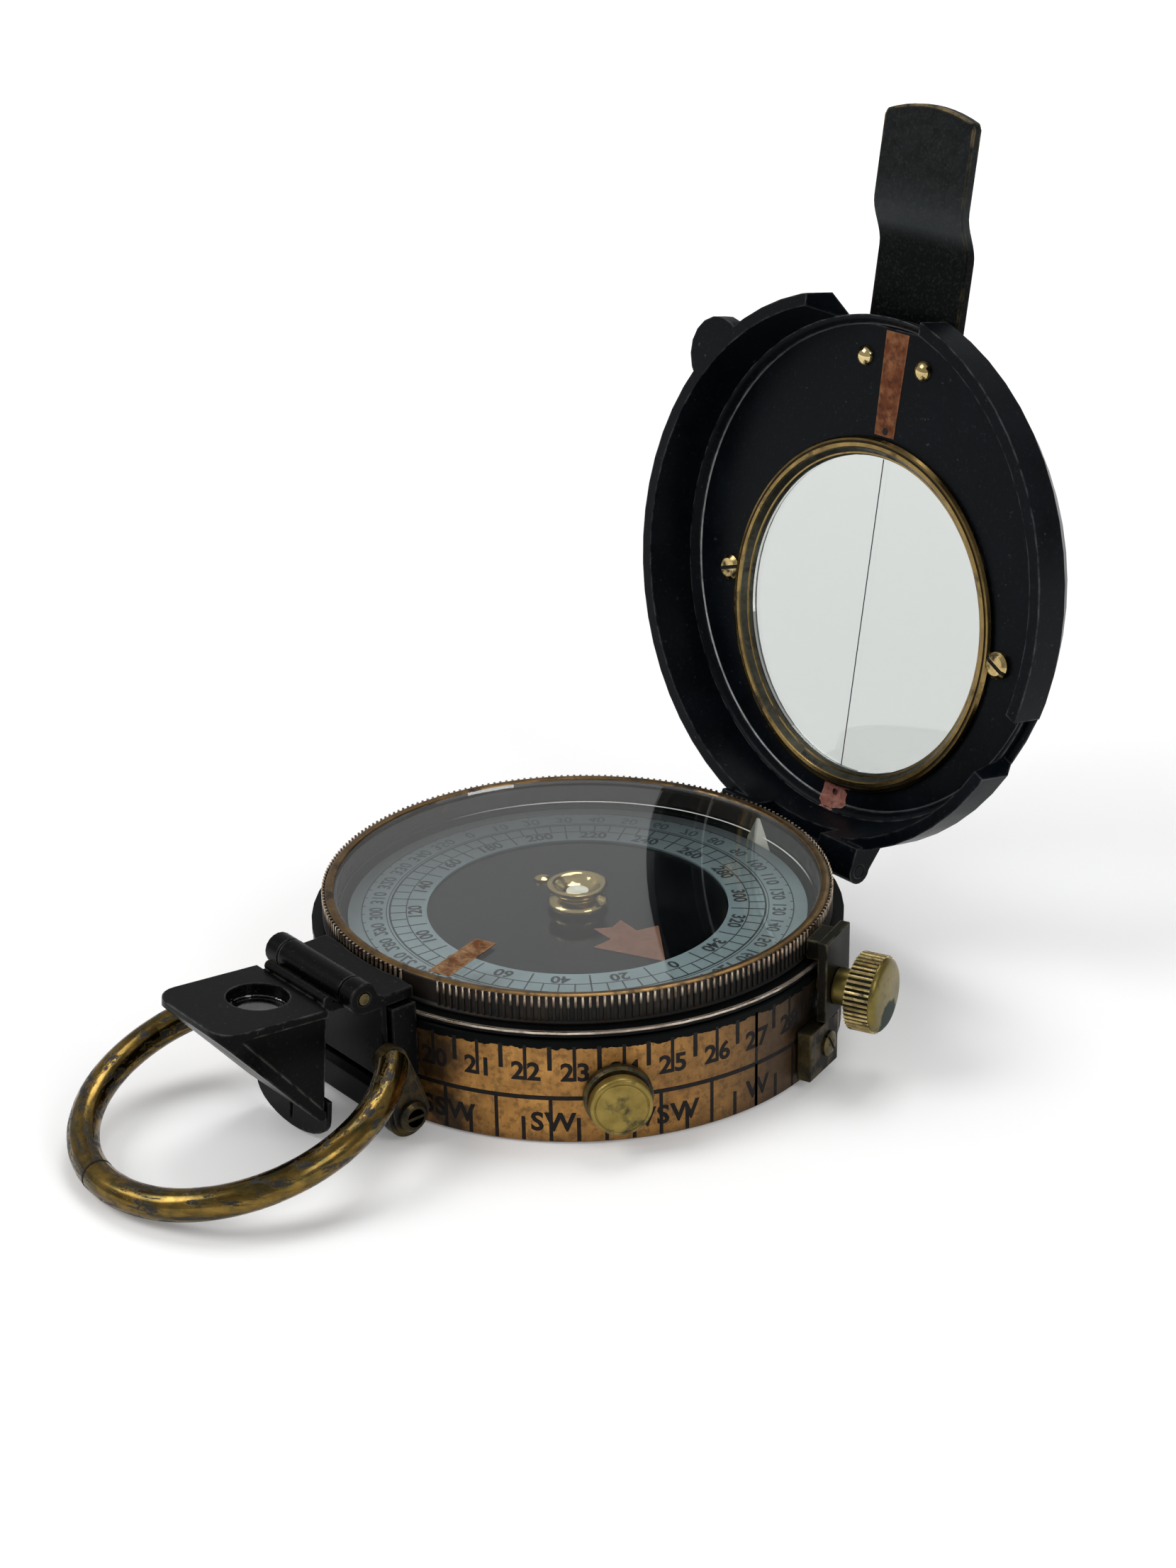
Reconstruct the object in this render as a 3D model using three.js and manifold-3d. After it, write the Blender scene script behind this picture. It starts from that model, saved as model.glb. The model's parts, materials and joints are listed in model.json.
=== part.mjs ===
// Prismatic sighting compass: a round brass case with a rotating card, a turning glass bezel,
// a hinged lid with a sighting window and a tongue, a sliding and folding prism box, and a thumb ring.
// Millimetres, +Z up. The origin is the middle of the case's flat bottom.
// The lid hinge is at +Y, the prism and the thumb ring are at -Y, the clamp screw is near +X.
import * as THREE from 'three';
import { mergeVertices } from 'three/addons/utils/BufferGeometryUtils.js';
import Module from 'manifold-3d';

const wasm = await Module();
wasm.setup();

// Sizes of the case
const CASE_OUTER_RADIUS = 28.6;
const CASE_HEIGHT = 12.76;
const CASE_WALL = 1.8;
const CASE_FLOOR = 1.6;
const LEDGE_OVERHANG = 0.1;
const LEDGE_HEIGHT = 0.56;
const BAND_THICKNESS = 0.9;
const BAND_BOTTOM = 0.1;
const BAND_GROOVE = 0.4;
const INDEX_AZIMUTH = 84;
const INDEX_HALF_WIDTH = 0.9;
const INDEX_POINT = 1.7;
const INDEX_DEPTH = 4;

// Sizes of the bezel and its glass
const BEZEL_INSET = 1.1;
const BEZEL_HEIGHT = 3.14;
const BEZEL_RIM = 0.9;
const BEZEL_CHAMFER = 0.3;
const GLASS_THICKNESS = 0.9;
const GLASS_SEAT = 0.7;
const GLASS_RING_WIDTH = 0.65;
const GLASS_RING_HEIGHT = 0.15;

// Sizes of the card and its pivot
const CARD_GAP = 1.0;
const CARD_DEPTH = 1.01;
const CARD_RING_WIDTH = 8.5;
const CARD_SHEET = 0.25;
const CARD_LAYER_GAP = 0.02;
const CAP_RADIUS = 3.3;
const CAP_WAIST = 0.9;
const CAP_BORE = 1.3;
const CAP_ROOF = 0.35;
const JEWEL_HEIGHT = 0.45;
const MAGNET_LENGTH = 24;
const MAGNET_WIDTH = 1.6;
const MAGNET_HEIGHT = 1.35;
const MAGNET_OFFSET = 5;
const ARROW_AZIMUTH = -5;
const POST_RADIUS = 1.1;
const POST_FOOT_RADIUS = 2.6;
const POST_FOOT_HEIGHT = 1;
const NEEDLE_RISE = 1.75;

// Sizes of the lid
const LID_OPEN_ANGLE = 99.1;
const LID_OVERHANG = 2.5;
const LID_RIM_WALL = 1.4;
const LID_STRAIGHT = 4.0;
const LID_HEIGHT = 8.0;
const LID_PLATE = 1.8;
const LID_BEVEL = 3.1;
const LID_INNER_TAPER = 1.4;
const LID_LIP = 0.6;
const HINGE_OFFSET = 2.9;
const HINGE_DROP = 2.11;
const HINGE_RADIUS = 1.5;
const HINGE_PIN_RADIUS = 0.67;
const HINGE_HALF_LENGTH = 11.2;
const HINGE_MIDDLE_HALF = 5.0;
const HINGE_PLATE_HALF = 7.5;
const HINGE_PLATE_BOTTOM = 2.6;
const HINGE_PLATE_THICKNESS = 1.3;
const HINGE_LUG_GAP = 0.35;
const HINGE_NOTCH_DEPTH = 3.2;
const HINGE_LEAF_BELOW = 1.75;
const HINGE_LEAF_ABOVE = 1.2;
const WINDOW_OFFSET = 5.3;
const WINDOW_MARGIN = 10.55;
const WINDOW_FLANGE = 2.82;
const WINDOW_SLEEVE = 0.85;
const WINDOW_FLANGE_HEIGHT = 0.68;
const WINDOW_GLASS_THICKNESS = 1;
const WINDOW_SCREW_GAP = 1.18;
const WINDOW_SCREW_OFFSET = 5.1;
const WINDOW_SCREW_HEAD = 1.05;
const WINDOW_SCREW_RISE = 0.6;
const RIVET_X = 4.48;
const RIVET_INSET = 4.47;
const RIVET_HEAD = 0.95;
const RIVET_RISE = 0.62;
const FASTENER_SHANK = 0.55;
const TONGUE_HALF_WIDTH = 6.7;
const TONGUE_THICKNESS = 1.3;
const TONGUE_ROOT = 4.03;
const TONGUE_FLAT = 4.4;
const TONGUE_BEND_LENGTH = 5.5;
const TONGUE_END_LENGTH = 9.4;
const TONGUE_DROP = 1.85;
const TONGUE_CORNER = 0.7;
const TONGUE_ARCH = 1.1;
const THUMB_TAB_AZIMUTH = 222.7;
const THUMB_TAB_RADIUS = 4.45;
const THUMB_TAB_INSET = 1.25;
const THUMB_TAB_HEIGHT = 1.7;
const CLAMP_NOTCH_HALF = 3.9;

// Sizes of the prism unit
const PRISM_AXIS_OFFSET = 4.8;
const PRISM_AXIS_RISE = 3.24;
const PRISM_REST_TILT = 5.3;
const PRISM_BARREL_RADIUS = 1.7;
const PRISM_PIN_RADIUS = 0.62;
const PRISM_HALF_WIDTH = 6.42;
const PRISM_CHEEK_INSET = 0.38;
const PRISM_KNUCKLE_INSET = 1.12;
const PRISM_BOX_START = 3.44;
const PRISM_BOX_LENGTH = 12.41;
const PRISM_BOX_CORNER = 2.6;
const PRISM_BOX_WALL = 1.17;
const PRISM_TOP = -0.72;
const PRISM_TOP_PLATE = 1.58;
const PRISM_BEAD_RADIUS = 0.55;
const LENS_RADIUS = 3.05;
const LENS_PLACE = 7.55;
const SIGHT_PLATE_REACH = 0.2;
const SIGHT_PLATE_DROP = 3.3;
const SIGHT_PLATE_ROUND = 2.9;
const SIGHT_PLATE_THICKNESS = 0.6;
const SIGHT_SLIT_WIDTH = 0.4;
const SLIDE_TONGUE_HALF = 5.0;
const SLIDE_TONGUE_DEPTH = 1.0;
const SLIDE_PLATE_THICKNESS = 0.7;
const SLIDE_SHOULDER = 1.18;
const GUIDE_SHOULDER = 0.6;
const GUIDE_DEPTH = 2.0;
const GUIDE_BOTTOM = 5.6;
const GUIDE_RISE = 1.24;

// Sizes of the thumb ring
const RING_WIRE_RADIUS = 1.65;
const RING_RADIUS = 16.0;
const RING_THROW = 13.7;
const RING_CENTRE_Z = 6.1;
const RING_SLOPE = 15.3;
const RING_PIVOT_OFFSET = 1.9;
const RING_PIVOT_Z = 3.0;
const RING_EYE_RADIUS = 2.5;
const RING_EYE_GAP = 0.35;
const RING_EYE_THICKNESS = 2.1;
const RING_SCREW_RADIUS = 0.95;
const RING_SCREW_HEAD = 1.65;
const RING_SCREW_DEPTH = 3;
const RING_BRACKET_BOTTOM = 0.8;

// Sizes of the check button and the clamp
const BUTTON_AZIMUTH = -31.5;
const BUTTON_Z = 5.6;
const BUTTON_RADIUS = 3.2;
const BUTTON_THICKNESS = 1.35;
const BUTTON_TRAVEL = 0.45;
const BUTTON_STEM_RADIUS = 1.3;
const BUSH_RADIUS = 3.55;
const BUSH_THICKNESS = 1.05;
const LEAF_HALF_WIDTH = 1.5;
const LEAF_THICKNESS = 0.3;
const CLAMP_AZIMUTH = 23;
const CLAMP_DROP = 2.9;
const CLAMP_HEAD_RADIUS = 4.2;
const CLAMP_HEAD_LENGTH = 3.4;
const CLAMP_HEAD_GAP = 1.6;
const CLAMP_FLUTES = 44;
const CLAMP_FLUTE_DEPTH = 0.22;
const CLAMP_NECK_RADIUS = 2.0;
const CLAMP_SHAFT_RADIUS = 1.2;
const CLAMP_HALF_WIDTH = 3.0;
const CLAMP_STANDOFF = 0.6;
const CLAMP_PLATE_THICKNESS = 1.1;
const CLAMP_PLATE_BELOW = 3.06;
const CLAMP_PAD_HALF = 2.0;
const CLAMP_FOOT_TURN = -4;
const CLAMP_FOOT_SIDES = [-3.6, 2.6];
const CLAMP_FOOT_BOTTOM = 1.0;

// Sizes of the card lifter
const LIFTER_AZIMUTH = 60;
const LIFTER_INSET = 2.6;
const LIFTER_DROP = 2.15;
const LIFTER_PIN_RADIUS = 0.5;
const LIFTER_EYE_RADIUS = 1.1;
const LIFTER_EAR_HALF = 0.9;
const LIFTER_EAR_OUTER = 2.9;
const LIFTER_EAR_INNER = 1.9;
const LEVER_HALF_WIDTH = 1.5;
const LEVER_HALF_THICKNESS = 0.4;
const LEVER_COLLAR_RADIUS = 3.6;
const LEVER_COLLAR_BORE = 2.0;
const LEVER_COLLAR_GAP = 0.55;

// Clearances, and the length by which a cutter passes the piece that it cuts
const RUNNING = 0.08;
const SEAT = 0.1;
const LOOSE = 0.2;
const TURNED_SEAT = 0.15;
const PAST = 20;

// Levels and radii that follow from the sizes above
const DRUM_RADIUS = CASE_OUTER_RADIUS - BAND_THICKNESS - SEAT;
const CASE_INNER_RADIUS = DRUM_RADIUS - CASE_WALL;
const LEDGE_RADIUS = CASE_OUTER_RADIUS + LEDGE_OVERHANG;
const CASE_CLEAR_RADIUS = LEDGE_RADIUS + SEAT;
const CASE_ROOT = CASE_OUTER_RADIUS - 2;
const BAND_TOP = CASE_HEIGHT - LEDGE_HEIGHT - BAND_GROOVE;
const BEZEL_RADIUS = CASE_OUTER_RADIUS - BEZEL_INSET;
const BEZEL_BOTTOM = CASE_HEIGHT + LOOSE;
const BEZEL_TOP = BEZEL_BOTTOM + BEZEL_HEIGHT;
const GLASS_TOP = BEZEL_TOP - LOOSE;
const GLASS_BOTTOM = GLASS_TOP - GLASS_THICKNESS;
const GLASS_RADIUS = BEZEL_RADIUS - BEZEL_RIM - SEAT;
const CARD_RADIUS = CASE_INNER_RADIUS - CARD_GAP;
const CARD_BLACK_RADIUS = CARD_RADIUS - CARD_RING_WIDTH;
const CARD_Z = CASE_HEIGHT - CARD_DEPTH;
const CAP_TOP = GLASS_BOTTOM - LOOSE;
const LID_RADIUS = CASE_OUTER_RADIUS + LID_OVERHANG;
const LID_TOP_RADIUS = LID_RADIUS - LID_BEVEL;
const LID_INNER_Z = LID_HEIGHT - LID_PLATE;
const HINGE_Y = CASE_OUTER_RADIUS + HINGE_OFFSET;
const HINGE_Z = CASE_HEIGHT - HINGE_DROP;
const WINDOW_OPENING = LID_TOP_RADIUS - WINDOW_MARGIN;
const WINDOW_RING_RADIUS = WINDOW_OPENING + WINDOW_FLANGE;
const WINDOW_SCREW_X = WINDOW_RING_RADIUS + WINDOW_SCREW_GAP;
const RIVET_U = LID_TOP_RADIUS - RIVET_INSET;
const TONGUE_ROOT_U = RIVET_U - TONGUE_ROOT;
const TONGUE_BEND_U = LID_RADIUS + TONGUE_FLAT;
const TONGUE_BEND_END_U = TONGUE_BEND_U + TONGUE_BEND_LENGTH;
const TONGUE_TIP_U = TONGUE_BEND_END_U + TONGUE_END_LENGTH;
const PRISM_AXIS_Y = -CASE_OUTER_RADIUS - PRISM_AXIS_OFFSET;
const PRISM_AXIS_Z = CASE_HEIGHT + PRISM_AXIS_RISE;
const PRISM_KNUCKLE_HALF = PRISM_HALF_WIDTH - PRISM_KNUCKLE_INSET;
const PRISM_BOX_END = PRISM_BOX_START + PRISM_BOX_LENGTH;
const SIGHT_PLATE_BOTTOM = -PRISM_AXIS_Z - SIGHT_PLATE_REACH;
const PRISM_BOTTOM = SIGHT_PLATE_BOTTOM + SIGHT_PLATE_DROP;
const SLIDE_HALF_WIDTH = PRISM_HALF_WIDTH + SLIDE_SHOULDER;
const GUIDE_HALF_WIDTH = SLIDE_HALF_WIDTH + GUIDE_SHOULDER;
const GUIDE_FACE_Y = -CASE_OUTER_RADIUS - GUIDE_DEPTH;
const GUIDE_TOP = CASE_HEIGHT + GUIDE_RISE;
const RING_PIVOT_Y = -CASE_OUTER_RADIUS - RING_PIVOT_OFFSET;
const RING_CENTRE_Y = RING_PIVOT_Y - RING_THROW;
const RING_EYE_INNER_X = GUIDE_HALF_WIDTH + RING_EYE_GAP;
const RING_END_X = RING_EYE_INNER_X + RING_EYE_THICKNESS * 0.69;
const CLAMP_Z = CASE_HEIGHT - CLAMP_DROP;
const LIFTER_PIVOT_R = CASE_INNER_RADIUS - LIFTER_INSET;
const LIFTER_PIVOT_Z = CARD_Z - LIFTER_DROP;

// Sides of the round pieces
const BIG = 60;
const MID = 28;
const SMALL = 18;
const TINY = 16;

const COLOURS = {
  black: { color: 0x1b1d20, roughness: 0.45, metalness: 0.6 },
  brass: { color: 0x8d7a45, roughness: 0.38, metalness: 1 },
  band: { color: 0xb0783c, roughness: 0.45, metalness: 0.9 },
  bronze: { color: 0x7a6236, roughness: 0.4, metalness: 1 },
  glass: { color: 0xdfe6e6, roughness: 0.03, metalness: 0, transparent: true, opacity: 0.35 },
  pearl: { color: 0xa0b2b9, roughness: 0.4, metalness: 0 },
  steel: { color: 0x8c8f92, roughness: 0.35, metalness: 1 },
  pale: { color: 0xc9c6b4, roughness: 0.5, metalness: 0 },
};

// A closed triangle mesh with shared corners, its faces pointing out
function closed(geometry) {
  const bare = geometry.clone();
  bare.deleteAttribute('normal');
  bare.deleteAttribute('uv');
  const merged = mergeVertices(bare, 1e-4);
  const place = merged.getAttribute('position');
  const source = merged.getIndex().array;
  const faces = [];
  let volume = 0;
  const a = new THREE.Vector3();
  const b = new THREE.Vector3();
  const c = new THREE.Vector3();
  for (let i = 0; i < source.length; i += 3) {
    const [p, q, r] = [source[i], source[i + 1], source[i + 2]];
    if (p === q || q === r || r === p) continue;
    faces.push(p, q, r);
    a.fromBufferAttribute(place, p);
    b.fromBufferAttribute(place, q);
    c.fromBufferAttribute(place, r);
    volume += a.dot(b.cross(c));
  }
  if (volume < 0) {
    for (let i = 0; i < faces.length; i += 3) {
      [faces[i + 1], faces[i + 2]] = [faces[i + 2], faces[i + 1]];
    }
  }
  const result = new THREE.BufferGeometry();
  result.setAttribute('position', new THREE.Float32BufferAttribute(place.array.slice(), 3));
  result.setIndex(faces);
  return result;
}

function toSolid(geometry) {
  const ready = closed(geometry);
  const vertProperties = new Float32Array(ready.getAttribute('position').array);
  const triVerts = new Uint32Array(ready.getIndex().array);
  return new wasm.Manifold(new wasm.Mesh({ numProp: 3, vertProperties, triVerts }));
}

function toGeometry(solid) {
  const mesh = solid.getMesh();
  const geometry = new THREE.BufferGeometry();
  geometry.setAttribute('position', new THREE.Float32BufferAttribute(mesh.vertProperties.slice(), 3));
  geometry.setIndex(Array.from(mesh.triVerts));
  return geometry;
}

function join(first, ...others) {
  return toGeometry(others.reduce((sum, next) => sum.add(toSolid(next)), toSolid(first)));
}

function cut(first, ...others) {
  return toGeometry(others.reduce((rest, next) => rest.subtract(toSolid(next)), toSolid(first)));
}

function common(first, second) {
  return toGeometry(toSolid(first).intersect(toSolid(second)));
}

// A body of revolution about Z from [radius, height] points
function lathe(points, segments = BIG) {
  const profile = points.map(([r, z]) => new THREE.Vector2(r, z));
  if (points[0][0] > 0) profile.push(profile[0].clone());
  return closed(new THREE.LatheGeometry(profile, segments).rotateX(Math.PI / 2));
}

// A body of revolution about X from [radius, distance] points
function latheX(points, segments = SMALL) {
  return lathe(points, segments).rotateY(Math.PI / 2);
}

function outline(points) {
  return new THREE.Shape(points.map(([x, y]) => new THREE.Vector2(x, y)));
}

// A flat outline in X and Y raised from z0 to z1
function slab(points, z0, z1) {
  const options = { depth: z1 - z0, bevelEnabled: false, curveSegments: 8 };
  return closed(new THREE.ExtrudeGeometry(outline(points), options).translate(0, 0, z0));
}

// A flat outline in Y and Z drawn out from x0 to x1
function sideSlab(points, x0, x1) {
  const options = { depth: x1 - x0, bevelEnabled: false, curveSegments: 8 };
  const turn = new THREE.Matrix4().makeBasis(
    new THREE.Vector3(0, 1, 0),
    new THREE.Vector3(0, 0, 1),
    new THREE.Vector3(1, 0, 0),
  );
  const body = new THREE.ExtrudeGeometry(outline(points), options).translate(0, 0, x0);
  return closed(body.applyMatrix4(turn));
}

function block(x0, x1, y0, y1, z0, z1) {
  const body = new THREE.BoxGeometry(x1 - x0, y1 - y0, z1 - z0);
  return closed(body.translate((x0 + x1) / 2, (y0 + y1) / 2, (z0 + z1) / 2));
}

function rodX(radius, x0, x1, y, z, segments = SMALL) {
  const body = new THREE.CylinderGeometry(radius, radius, x1 - x0, segments).rotateZ(Math.PI / 2);
  return closed(body.translate((x0 + x1) / 2, y, z));
}

function rodZ(radius, z0, z1, x, y, segments = SMALL) {
  const body = new THREE.CylinderGeometry(radius, radius, z1 - z0, segments).rotateX(Math.PI / 2);
  return closed(body.translate(x, y, (z0 + z1) / 2));
}

// Turns a piece built along +X to its place round the case
function atAzimuth(geometry, degrees) {
  return geometry.rotateZ(THREE.MathUtils.degToRad(degrees));
}

// The outline that wraps two circles
function wrapped([y1, z1], r1, [y2, z2], r2) {
  const along = Math.atan2(z2 - z1, y2 - y1);
  const lean = Math.acos((r1 - r2) / Math.hypot(y2 - y1, z2 - z1));
  const points = [];
  for (let i = 0; i <= 12; i += 1) {
    const angle = along + lean + ((2 * Math.PI - 2 * lean) * i) / 12;
    points.push([y1 + r1 * Math.cos(angle), z1 + r1 * Math.sin(angle)]);
  }
  for (let i = 0; i <= 8; i += 1) {
    const angle = along - lean + (2 * lean * i) / 8;
    points.push([y2 + r2 * Math.cos(angle), z2 + r2 * Math.sin(angle)]);
  }
  return points;
}

const compass = new THREE.Group();

function add(group, name, geometry, look) {
  const mesh = new THREE.Mesh(closed(geometry), new THREE.MeshStandardMaterial(COLOURS[look]));
  mesh.geometry.computeVertexNormals();
  mesh.name = name;
  group.add(mesh);
}

// Case drum with its floor and its worn ledge
const stemHole = atAzimuth(
  rodX(BUTTON_STEM_RADIUS + RUNNING, CASE_INNER_RADIUS - 1, CASE_OUTER_RADIUS + 1, 0, BUTTON_Z),
  BUTTON_AZIMUTH,
);
const clampHole = atAzimuth(
  rodX(CLAMP_SHAFT_RADIUS + RUNNING, CASE_INNER_RADIUS - 1, CASE_OUTER_RADIUS + 1, 0, CLAMP_Z),
  CLAMP_AZIMUTH,
);
const drum = lathe([
  [0, 0],
  [DRUM_RADIUS, 0],
  [DRUM_RADIUS, CASE_HEIGHT - LEDGE_HEIGHT],
  [LEDGE_RADIUS, CASE_HEIGHT - LEDGE_HEIGHT],
  [LEDGE_RADIUS, CASE_HEIGHT],
  [CASE_INNER_RADIUS, CASE_HEIGHT],
  [CASE_INNER_RADIUS, CASE_FLOOR],
  [0, CASE_FLOOR],
]);
add(compass, 'case_drum', cut(drum, stemHole, clampHole), 'black');

// Scale band, a sleeve round the drum
const band = lathe([
  [DRUM_RADIUS + SEAT, BAND_BOTTOM],
  [CASE_OUTER_RADIUS, BAND_BOTTOM],
  [CASE_OUTER_RADIUS, BAND_TOP],
  [DRUM_RADIUS + SEAT, BAND_TOP],
]);
add(compass, 'scale_band', cut(band, stemHole, clampHole), 'band');

// Pivot post with its needle point
const needleTop = CARD_Z + NEEDLE_RISE;
add(compass, 'pivot_post', lathe([
  [0, CASE_FLOOR],
  [POST_FOOT_RADIUS, CASE_FLOOR],
  [POST_FOOT_RADIUS, CASE_FLOOR + POST_FOOT_HEIGHT],
  [POST_RADIUS, CASE_FLOOR + 1.8 * POST_FOOT_HEIGHT],
  [POST_RADIUS, CARD_Z - 0.75],
  [0.25, needleTop - 0.2],
  [0, needleTop],
], SMALL), 'steel');

// Index blade that stands inside the wall below the lid hinge
const bladeOuter = CASE_INNER_RADIUS - SEAT;
const blade = join(
  block(
    bladeOuter - 0.35,
    bladeOuter,
    -INDEX_HALF_WIDTH,
    INDEX_HALF_WIDTH,
    CASE_HEIGHT - INDEX_DEPTH,
    CASE_HEIGHT + 0.3,
  ),
  sideSlab([
    [-INDEX_HALF_WIDTH, CASE_HEIGHT],
    [INDEX_HALF_WIDTH, CASE_HEIGHT],
    [0, CASE_HEIGHT + INDEX_POINT],
  ], bladeOuter - 0.7, bladeOuter),
);
add(compass, 'index_blade', atAzimuth(blade, INDEX_AZIMUTH), 'pale');

// Hinge bracket of the lid, fixed to the back of the case
const caseClear = rodZ(CASE_CLEAR_RADIUS, -PAST, CASE_HEIGHT + PAST, 0, 0, BIG);
const hingeBracket = cut(
  join(
    block(
      -HINGE_MIDDLE_HALF,
      HINGE_MIDDLE_HALF,
      CASE_ROOT,
      HINGE_Y,
      HINGE_Z - HINGE_LEAF_BELOW,
      HINGE_Z + HINGE_LEAF_ABOVE,
    ),
    rodX(HINGE_RADIUS, -HINGE_MIDDLE_HALF, HINGE_MIDDLE_HALF, HINGE_Y, HINGE_Z),
    block(
      -HINGE_PLATE_HALF,
      HINGE_PLATE_HALF,
      CASE_ROOT,
      CASE_OUTER_RADIUS + HINGE_PLATE_THICKNESS,
      HINGE_PLATE_BOTTOM,
      HINGE_Z - HINGE_LEAF_BELOW,
    ),
  ),
  caseClear,
  rodX(HINGE_PIN_RADIUS + RUNNING, -PAST, PAST, HINGE_Y, HINGE_Z),
);
add(compass, 'lid_hinge_bracket', hingeBracket, 'black');
add(compass, 'lid_hinge_pin', rodX(
  HINGE_PIN_RADIUS,
  -HINGE_HALF_LENGTH,
  HINGE_HALF_LENGTH,
  HINGE_Y,
  HINGE_Z,
), 'brass');

// Guide block for the prism slide, and the bracket of the thumb ring below it
const guideChannel = block(
  -SLIDE_TONGUE_HALF - LOOSE,
  SLIDE_TONGUE_HALF + LOOSE,
  GUIDE_FACE_Y - 1,
  GUIDE_FACE_Y + SLIDE_TONGUE_DEPTH + LOOSE,
  0,
  GUIDE_TOP + PAST,
);
const guide = cut(
  block(-GUIDE_HALF_WIDTH, GUIDE_HALF_WIDTH, GUIDE_FACE_Y, -CASE_ROOT, GUIDE_BOTTOM, GUIDE_TOP),
  caseClear,
  guideChannel,
);
add(compass, 'prism_guide', guide, 'black');

const bracketSide = [
  [-CASE_ROOT, RING_BRACKET_BOTTOM],
  [RING_PIVOT_Y - 0.6, RING_BRACKET_BOTTOM],
  [RING_PIVOT_Y - 1.6, RING_BRACKET_BOTTOM + 1],
  [RING_PIVOT_Y - 1.6, GUIDE_BOTTOM - LOOSE - 0.6],
  [RING_PIVOT_Y - 1.0, GUIDE_BOTTOM - LOOSE],
  [-CASE_ROOT, GUIDE_BOTTOM - LOOSE],
];
const ringBracket = cut(
  sideSlab(bracketSide, -GUIDE_HALF_WIDTH, GUIDE_HALF_WIDTH),
  caseClear,
  rodX(RING_SCREW_RADIUS + RUNNING, -PAST, PAST, RING_PIVOT_Y, RING_PIVOT_Z),
);
add(compass, 'ring_bracket', ringBracket, 'black');

const ringScrewHead = RING_EYE_INNER_X + RING_EYE_THICKNESS + SEAT;
const ringScrew = () => latheX([
  [0, GUIDE_HALF_WIDTH - RING_SCREW_DEPTH],
  [RING_SCREW_RADIUS, GUIDE_HALF_WIDTH - RING_SCREW_DEPTH],
  [RING_SCREW_RADIUS, ringScrewHead],
  [RING_SCREW_HEAD, ringScrewHead],
  [RING_SCREW_HEAD, ringScrewHead + 0.35],
  [RING_SCREW_HEAD - 0.35, ringScrewHead + 0.65],
  [0, ringScrewHead + 0.65],
]);
const screwPlace = [0, RING_PIVOT_Y, RING_PIVOT_Z];
add(compass, 'ring_screw_right', ringScrew().translate(...screwPlace), 'brass');
add(compass, 'ring_screw_left', ringScrew().rotateZ(Math.PI).translate(...screwPlace), 'brass');

// Thumb ring: a wire bow whose two ends drop into flat eyes beside the bracket
const ringSlope = THREE.MathUtils.degToRad(RING_SLOPE);
const ringReach = Math.sqrt(RING_RADIUS ** 2 - RING_END_X ** 2);
const ringSpread = Math.acos(-ringReach / RING_RADIUS);
class RingBow extends THREE.Curve {
  getPoint(t, target = new THREE.Vector3()) {
    const angle = ringSpread * (2 * t - 1);
    const out = RING_RADIUS * Math.cos(angle);
    return target.set(
      RING_RADIUS * Math.sin(angle),
      RING_CENTRE_Y - out * Math.cos(ringSlope),
      RING_CENTRE_Z - out * Math.sin(ringSlope),
    );
  }
}
const wireSection = outline(Array.from({ length: 12 }, (_, i) => {
  const angle = (2 * Math.PI * i) / 12;
  return [RING_WIRE_RADIUS * Math.cos(angle), RING_WIRE_RADIUS * Math.sin(angle)];
}));
const ringBow = new THREE.ExtrudeGeometry(wireSection, {
  steps: 36,
  bevelEnabled: false,
  extrudePath: new RingBow(),
});
const ringEnd = [
  RING_CENTRE_Y + ringReach * Math.cos(ringSlope),
  RING_CENTRE_Z + ringReach * Math.sin(ringSlope),
];
const eyeOutline = wrapped([RING_PIVOT_Y, RING_PIVOT_Z], RING_EYE_RADIUS, ringEnd, RING_WIRE_RADIUS + 0.1);
const eyeOuter = RING_EYE_INNER_X + RING_EYE_THICKNESS;
const thumbRing = cut(
  join(
    ringBow,
    sideSlab(eyeOutline, RING_EYE_INNER_X, eyeOuter),
    sideSlab(eyeOutline, -eyeOuter, -RING_EYE_INNER_X),
  ),
  rodX(RING_SCREW_RADIUS + RUNNING, -PAST, PAST, RING_PIVOT_Y, RING_PIVOT_Z),
);
add(compass, 'thumb_ring', thumbRing, 'bronze');

// Check button: a bush on the band, the button with its stem, and the brake leaf inside the case
const bushBack = CASE_OUTER_RADIUS + SEAT;
const bush = latheX([
  [BUTTON_STEM_RADIUS + RUNNING, bushBack],
  [BUSH_RADIUS, bushBack],
  [BUSH_RADIUS, bushBack + BUSH_THICKNESS - 0.25],
  [BUSH_RADIUS - 0.25, bushBack + BUSH_THICKNESS],
  [BUTTON_STEM_RADIUS + RUNNING, bushBack + BUSH_THICKNESS],
], MID);
add(compass, 'button_bush', atAzimuth(bush.translate(0, 0, BUTTON_Z), BUTTON_AZIMUTH), 'brass');

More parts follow.
